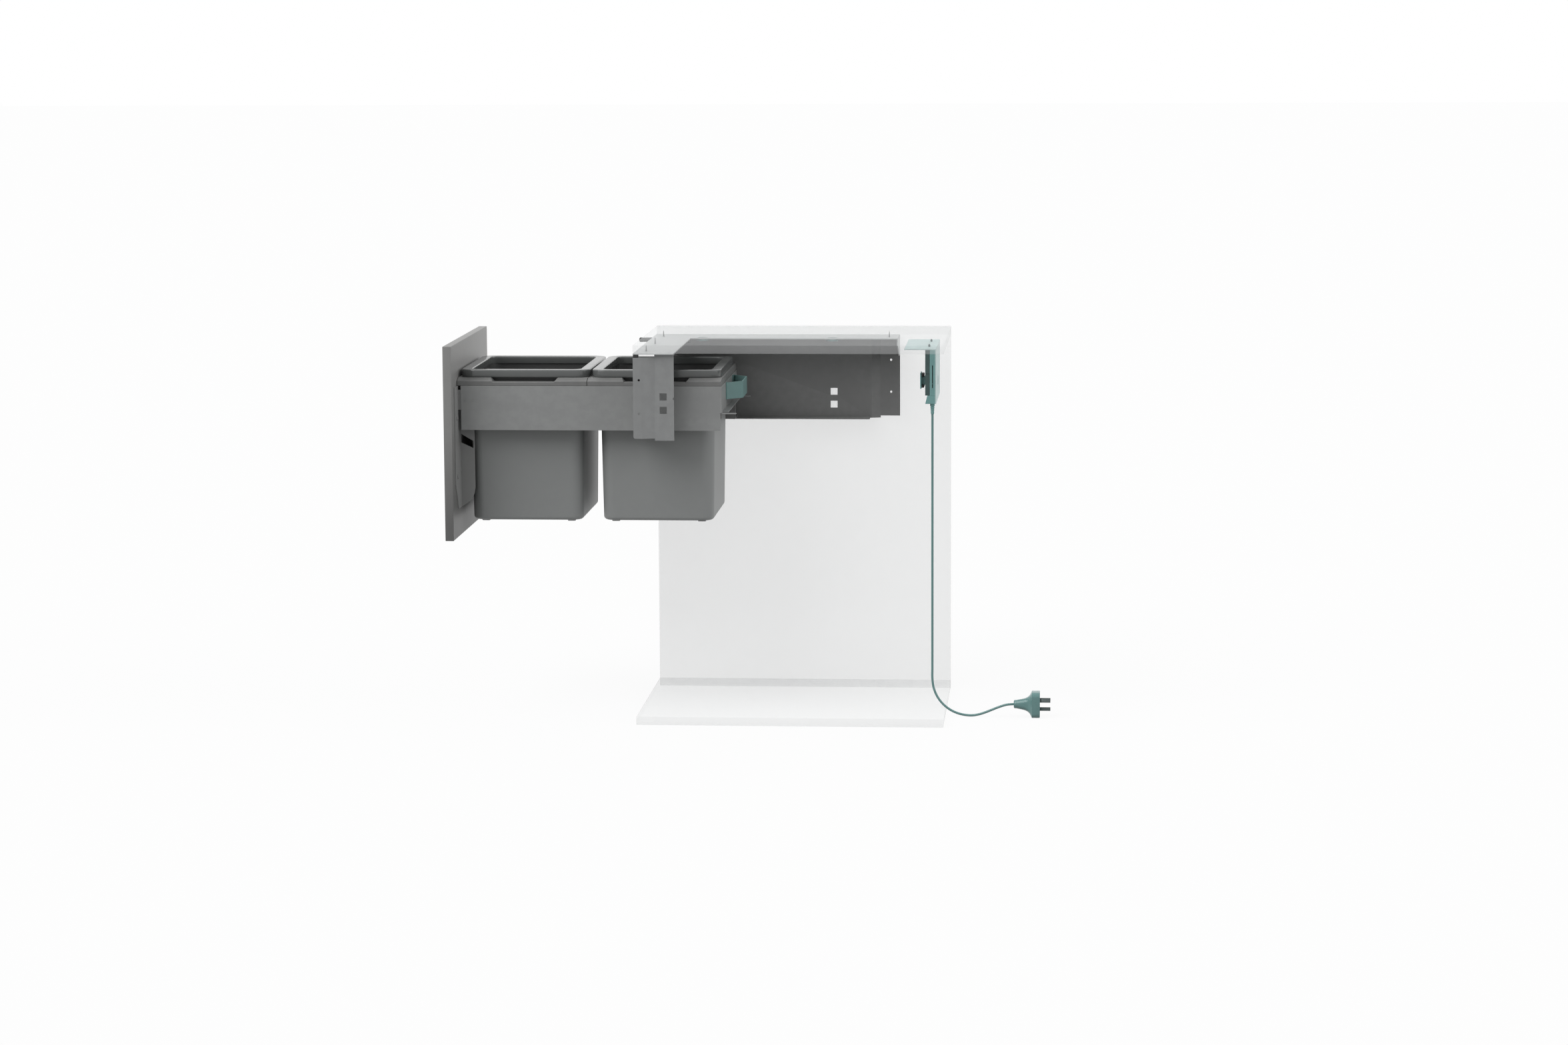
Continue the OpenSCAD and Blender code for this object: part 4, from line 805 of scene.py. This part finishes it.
class CABINET_OT_panels(bpy.types.Operator):
    """Translucent top, far side and bottom panels of the carcass"""

    bl_idname = "cabinet.panels"
    bl_label = "Carcass panels"

    def execute(self, context):
        edge = sizes().panel_edge
        for name, nodes, veils in (
                ("clear_top_panel", ["top_panel"], (0.20, 0.07, 0.18)),
                ("clear_side_panel", ["side_panel", "panel_dowels"], (0.185, 0.185, 0.185)),
                ("clear_bottom_panel", ["bottom_panel"], (0.22, 0.22, 0.22))):
            low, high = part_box(nodes[0])
            piece = make_piece(name, round_block(low, high, edge), finish("ghost_panel"),
                               nodes, 30)
            self.set_veil(piece.data, veils)
        return {"FINISHED"}

    def set_veil(self, mesh, veils):
        """Stores on each face how much it hides: upper, lower and upright faces."""
        normals = np.empty(3 * len(mesh.polygons))
        mesh.polygons.foreach_get("normal", normals)
        up = normals.reshape(-1, 3)[:, 2]
        veil = np.where(up > 0.5, veils[0], np.where(up < -0.5, veils[1], veils[2]))
        mesh.attributes.new("veil", "FLOAT", "FACE").data.foreach_set(
            "value", veil.astype(np.float32))


class CABINET_OT_frame(bpy.types.Operator):
    """Steel top frame: top plate, near leg and far side plate"""

    bl_idname = "cabinet.frame"
    bl_label = "Steel frame"

    def execute(self, context):
        # The top plate wears the frame steel with painted light
        soft("top_plate_sheet", "frame_top", as_finish="lit_frame_steel")
        soft("near_leg_sheet", "near_leg")
        # The far plate wears the frame steel with painted shade
        soft("far_plate_sheet", "far_side_plate", as_finish="shaded_frame_steel")
        return {"FINISHED"}


class CABINET_OT_fixings(bpy.types.Operator):
    """Screws, rivets, caps, front buffer and pad of the steel frame and the opener"""

    bl_idname = "cabinet.fixings"
    bl_label = "Fixings"

    def execute(self, context):
        self.wood_screws()
        self.blunt_screws()
        self.rivets()
        self.caps()
        self.plunger()
        soft("edge_pad", "edge_buffer", edge=0.0012)
        soft("plunger_sleeve", "buffer_sleeve", edge=0.0008)
        soft("bracket_screws", "side_screws", edge=0.0003, as_finish="drawer_steel")
        # The door screws take the brackets' steel with painted shade
        soft("door_fixing_screws", "door_screws", edge=0.0003, as_finish="shaded_bracket_steel")
        soft("push_bracket_screws", "push_screws", edge=0.0003)
        return {"FINISHED"}

    def centres(self, node):
        """Middle of each loose solid of a node, and its lowest point, from its mesh."""
        work = bmesh.new()
        work.from_mesh(frame["nodes"][node].data)
        bmesh.ops.remove_doubles(work, verts=work.verts, dist=MERGE_PACKED)
        left, places = set(work.verts), []
        while left:
            heap, found = [left.pop()], []
            while heap:
                vert = heap.pop()
                found.append(vert.co[:])
                near = {edge.other_vert(vert) for edge in vert.link_edges} & left
                left -= near
                heap += near
            points = np.array(found)
            places.append((*((points.min(0) + points.max(0)) / 2)[:2], points[:, 2].min()))
        work.free()
        return sorted(places)

    def wood_screws(self):
        """Turned wood screws, head below: rounded head with a recess, a short plain neck,
        thread ridges a pitch apart that grow thinner, and a long point. The core is a
        share of the ridge's radius. Sizes in millimetres."""
        first, turns, pitch, core, crest_r, thinning = 4.0, 9, 1.25, 0.72, 2.0, 0.11
        ridge = first + np.arange(turns)[:, None] * pitch + np.array([0, 0.45, 0.6, 0.75])
        crest = crest_r - thinning * (ridge - first)
        ridge_r = crest * np.array([core, core, 1.0, core])
        along = np.concatenate([[1.0, 1.0, 0.5, 0, 0.5, 2.4, 3.0], ridge.ravel(),
                                [15.4, 16.3, 16.35]])
        radius = np.concatenate([[0.01, 1.3, 1.5, 2.6, 3.9, 3.9, 1.6], ridge_r.ravel(),
                                 [0.45, 0.12, 0.01]])
        parts = [turned(radius / 1000, along / 1000, place, (0, 0, 1), 24)
                 for place in self.centres("frame_screws")]
        make_piece("frame_wood_screws", joined(parts), finish("zinc"), ["frame_screws"], 35)

    def blunt_screws(self):
        """Turned short screws of the opener: rounded head below, shank and domed end."""
        along = np.array([1.0, 1.0, 0.5, 0, 0.5, 2.4, 2.6, 7.0, 8.6, 9.3, 9.4]) / 1000
        radius = np.array([0.01, 1.3, 1.5, 2.6, 3.9, 3.9, 2.0, 2.0, 1.6, 0.7, 0.01]) / 1000
        parts = [turned(radius, along, place, (0, 0, 1), 24)
                 for place in self.centres("unit_screws")]
        make_piece("opener_screws", joined(parts), finish("dark_teal"), ["unit_screws"], 35)

    def rivets(self):
        """Turned rivets: domed head below and a flush shank."""
        along = np.array([0.0, 0.05, 0.25, 0.6, 1.0, 1.0, 4.9, 5.0, 5.0]) / 1000
        radius = np.array([0.01, 1.4, 2.5, 3.2, 3.5, 2.0, 2.0, 1.8, 0.01]) / 1000
        parts = [turned(radius, along, place, (0, 0, 1), 24)
                 for place in self.centres("frame_rivets")]
        make_piece("frame_blind_rivets", joined(parts), finish("zinc"), ["frame_rivets"],
                   35)

    def caps(self):
        """Turned push-in caps: a lip with a rounded edge that hangs below, and a barrel
        above."""
        lip = 0.0025
        along = np.array([3.2, 3.2, 2.7, 2.5, 2.5, 2.6, 3.0, 4.0, 4.0, 5.4, 5.7,
                          5.7]) / 1000
        radius = np.array([0.01, 5.0, 6.5, 9.0, 11.2, 11.8, 12.0, 12.0, 9.4, 9.4, 9.0,
                           0.01]) / 1000
        parts = []
        for x, y, z in self.centres("strip_caps"):
            parts.append(turned(radius, along - lip, (x, y, z), (0, 0, 1), 48))
        make_piece("strip_plugs", joined(parts), finish("teal_plastic"), ["strip_caps"], 35)

    def plunger(self):
        """Turned plunger along X: a domed rubber end with two grooves, then the rod."""
        low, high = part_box("buffer_plunger")
        full = (high[1] - low[1]) / 2 * 1000
        length = (high[0] - low[0]) * 1000
        along = np.array([0, 0.2, 0.8, 2.0, 8.0, 8.3, 9.0, 9.3, 12.0, 12.3, 13.0, 13.3,
                          length - 0.6, length, length]) / 1000
        share = np.array([0.01, 0.45, 0.8, 1, 1, 0.86, 0.86, 1, 1, 0.86, 0.86, 1, 1, 0.9,
                          0.01])
        place = (low[0], (low[1] + high[1]) / 2, (low[2] + high[2]) / 2)
        make_piece("buffer_rod", turned(share * full / 1000, along, place, (1, 0, 0), 32),
                   finish("black_nylon"), ["buffer_plunger"], 35)


class CABINET_OT_runners(bpy.types.Operator):
    """Guides, nylon glides and rails"""

    bl_idname = "cabinet.runners"
    bl_label = "Runners"

    def execute(self, context):
        soft("near_guide_rail", "guide_near")
        # The far guide wears the frame steel with painted shade
        soft("far_guide_rail", "guide_far", as_finish="shaded_frame_steel")
        soft("near_nylon_glide", "glide_near")
        soft("far_nylon_glide", "glide_far")
        soft("near_runner", "rail_near", edge=0.0003)
        soft("far_runner", "rail_far", edge=0.0003)
        return {"FINISHED"}


class CABINET_OT_slider(bpy.types.Operator):
    """Sliding frame: steel sides, rear panel, cross bar and door brackets"""

    bl_idname = "cabinet.slider"
    bl_label = "Sliding frame"

    def execute(self, context):
        soft("near_drawer_side", "drawer_side_near", edge=0.0006)
        soft("far_drawer_side", "drawer_side_far", edge=0.0006)
        soft("drawer_rear_sheet", "rear_panel")
        soft("bin_cross_bar", "cross_bar")
        # The door brackets wear a steel with painted shade
        soft("near_door_bracket", "front_bracket_near", as_finish="shaded_bracket_steel")
        soft("far_door_bracket", "front_bracket_far", as_finish="shaded_bracket_steel")
        soft("push_bracket_sheet", "push_bracket", edge=0.0005)
        return {"FINISHED"}


class CABINET_OT_bin_frames(bpy.types.Operator):
    """Plastic frames that the bins hang in"""

    bl_idname = "cabinet.bin_frames"
    bl_label = "Bin frames"

    def execute(self, context):
        edge = sizes().moulded_edge
        soft("front_bin_moulding", "bin_frame_front", edge=edge)
        soft("rear_bin_moulding", "bin_frame_rear", edge=edge)
        return {"FINISHED"}


class CABINET_OT_bins(bpy.types.Operator):
    """Two bins with their rims and feet"""

    bl_idname = "cabinet.bins"
    bl_label = "Bins"

    def execute(self, context):
        for side in ("front", "rear"):
            self.bin(side)
            self.rim(side)
            soft(f"{side}_bin_pads", f"bin_feet_{side}", edge=0.0008)
        return {"FINISHED"}

    def middle(self, node):
        """Centre of a node in plan, its lowest and highest Z."""
        low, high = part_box(node)
        return (low[0] + high[0]) / 2, (low[1] + high[1]) / 2, low[2], high[2]

    def bin(self, side):
        """Rounded rectangles that narrow evenly from the neck to a rounded base, out and
        over the lip, and down again a wall inside. Sizes in millimetres, from the outline
        of the neck: how far in, the corner and the height above the base."""
        x, y, z0, z1 = self.middle(f"bin_{side}")
        length, width, corner, inner_corner, taper = 217.0, 264.0, 24.0, 22.0, 3.0
        base_r, inside_r, base_t, neck, lip_t = 7.0, 5.0, 3.0, 202.0, 3.2
        wall = sizes().bin_wall * 1000
        top = (z1 - z0) * 1000
        turn = np.linspace(0, np.pi / 2, 6)
        outer_in = np.concatenate([[60, 24], taper + base_r * (1 - np.sin(turn)), [0, 0]])
        outer_z = np.concatenate([[1.2, 0.6], base_r * (1 - np.cos(turn)),
                                  [neck, top - lip_t]])
        outer_r = np.concatenate([[10, 18], corner - base_r * (1 - np.sin(turn)),
                                  [corner, corner]])
        lip_in = np.array([-8.0, -8.7, -8.75, -8.5, -8.0])
        lip_z = top - np.array([3.0, 2.7, 1.2, 0.3, 0])
        lip_r = np.full(5, 29.0)
        inner_in = wall + np.concatenate([[-1.5, 0, 0, 0],
                                          taper + inside_r * (1 - np.cos(turn)), [60]])
        inner_z = np.concatenate([[top, top - 0.8, top - lip_t, neck],
                                  base_t + inside_r * (1 - np.sin(turn)), [base_t]])
        inner_r = np.concatenate([[corner, inner_corner, inner_corner, inner_corner],
                                  inner_corner - inside_r * (1 - np.cos(turn)), [10]])
        inset = np.concatenate([outer_in, lip_in, inner_in])
        rings = rounded_rings(length - 2 * inset, width - 2 * inset,
                              np.concatenate([outer_r, lip_r, inner_r]),
                              np.concatenate([outer_z, lip_z, inner_z]), 10) / 1000
        make_piece(f"{side}_bin_body", shell(rings + [x, y, z0]), finish("bin_plastic"),
                   [f"bin_{side}"], 50)

    def rim(self, side):
        """One profile carried round the rounded outline: up the outer face, over the
        rounded top, down the inner skirt and back under. Sizes in millimetres."""
        x, y, z0, _ = self.middle(f"rim_{side}")
        corner, band, top, outer_r, inner_r = 26.0, 19.3, 14.5, 2.6, 2.2
        turn = np.linspace(0, np.pi / 2, 7)
        draw_in = np.concatenate([[1.2, 0.4, 0], outer_r * (1 - np.cos(turn)),
                                  band - inner_r * (1 - np.sin(turn)),
                                  [band, 19.0, 17.2, 16.8, 16.8, 5.3, 5.3]])
        height = np.concatenate([[0.0, 0.3, 1.2], top - outer_r * (1 - np.sin(turn)),
                                 top - 0.2 - inner_r * (1 - np.cos(turn)),
                                 [1.2, 0.5, 0.5, 0.9, 2.6, 2.6, 0.0]])
        size = (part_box(f"rim_{side}")[1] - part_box(f"rim_{side}")[0]) * 1000
        rings = rounded_rings(size[0] - 2 * draw_in, size[1] - 2 * draw_in,
                              np.maximum(corner - 0.6 * draw_in, 4), height, 12) / 1000
        make_piece(f"{side}_rim_ring", shell(rings + [x, y, z0], closed_rows=True),
                   finish("rim_plastic"), [f"rim_{side}"], 50)


class CABINET_OT_door(bpy.types.Operator):
    """Door front"""

    bl_idname = "cabinet.door"
    bl_label = "Door"

    def execute(self, context):
        low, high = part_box("door_front")
        make_piece("door_board_front", round_block(low, high, sizes().door_edge, 4),
                   finish("door_board"), ["door_front"], 40)
        return {"FINISHED"}


class CABINET_OT_opener(bpy.types.Operator):
    """Electric opener: angle plate, housing, pusher and the works inside"""

    bl_idname = "cabinet.opener"
    bl_label = "Opener"

    def execute(self, context):
        soft("opener_angle_plate", "unit_bracket")
        soft("opener_rear_shell", "unit_shell", edge=0.0006)
        soft("opener_front_cover", "unit_cover", edge=0.0006, as_finish="dark_teal")
        soft("opener_inlet_box", "inlet_box", edge=0.0006)
        # The pusher wears a teal plastic with painted light
        soft("pusher_plate_and_arm", "pusher_arm", edge=0.00025, as_finish="lit_teal_plastic")
        soft("pusher_rubber_pads", "pusher_pads", edge=0.0008)
        soft("opener_gear_motor", "gear_motor", edge=0.0008)
        soft("opener_board", "control_board", edge=0.0002)
        soft("opener_power_module", "power_module", edge=0.001)
        paint(finish("brass_gear"), "drive_pinion")
        return {"FINISHED"}


STEPS = (CABINET_OT_stage, CABINET_OT_cord, CABINET_OT_panels, CABINET_OT_frame,
         CABINET_OT_fixings, CABINET_OT_runners, CABINET_OT_slider, CABINET_OT_bin_frames,
         CABINET_OT_bins, CABINET_OT_door, CABINET_OT_opener)


class CABINET_PT_panel(bpy.types.Panel):
    """Lists the steps that build the cabinet, with its sizes and colours"""

    bl_idname = "CABINET_PT_panel"
    bl_label = "Waste cabinet"
    bl_space_type = "VIEW_3D"
    bl_region_type = "UI"
    bl_category = "Waste cabinet"

    def draw(self, context):
        for step in STEPS:
            self.layout.operator(step.bl_idname)
        for group in (context.scene.cabinet_sizes, context.scene.cabinet_colours):
            for key in group.bl_rna.properties.keys():
                if key not in ("rna_type", "name"):
                    self.layout.prop(group, key)


CLASSES = (CabinetSizes, CabinetColours, *STEPS, CABINET_PT_panel)


def register():
    for item in CLASSES:
        bpy.utils.register_class(item)
    bpy.types.Scene.cabinet_sizes = PointerProperty(type=CabinetSizes)
    bpy.types.Scene.cabinet_colours = PointerProperty(type=CabinetColours)


def unregister():
    del bpy.types.Scene.cabinet_colours
    del bpy.types.Scene.cabinet_sizes
    for item in reversed(CLASSES):
        bpy.utils.unregister_class(item)


def main():
    """Registers the add-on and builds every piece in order."""
    register()
    for step in STEPS:
        group, name = step.bl_idname.split(".")
        getattr(getattr(bpy.ops, group), name)()
    bpy.context.view_layer.update()


if __name__ == "__main__":
    main()
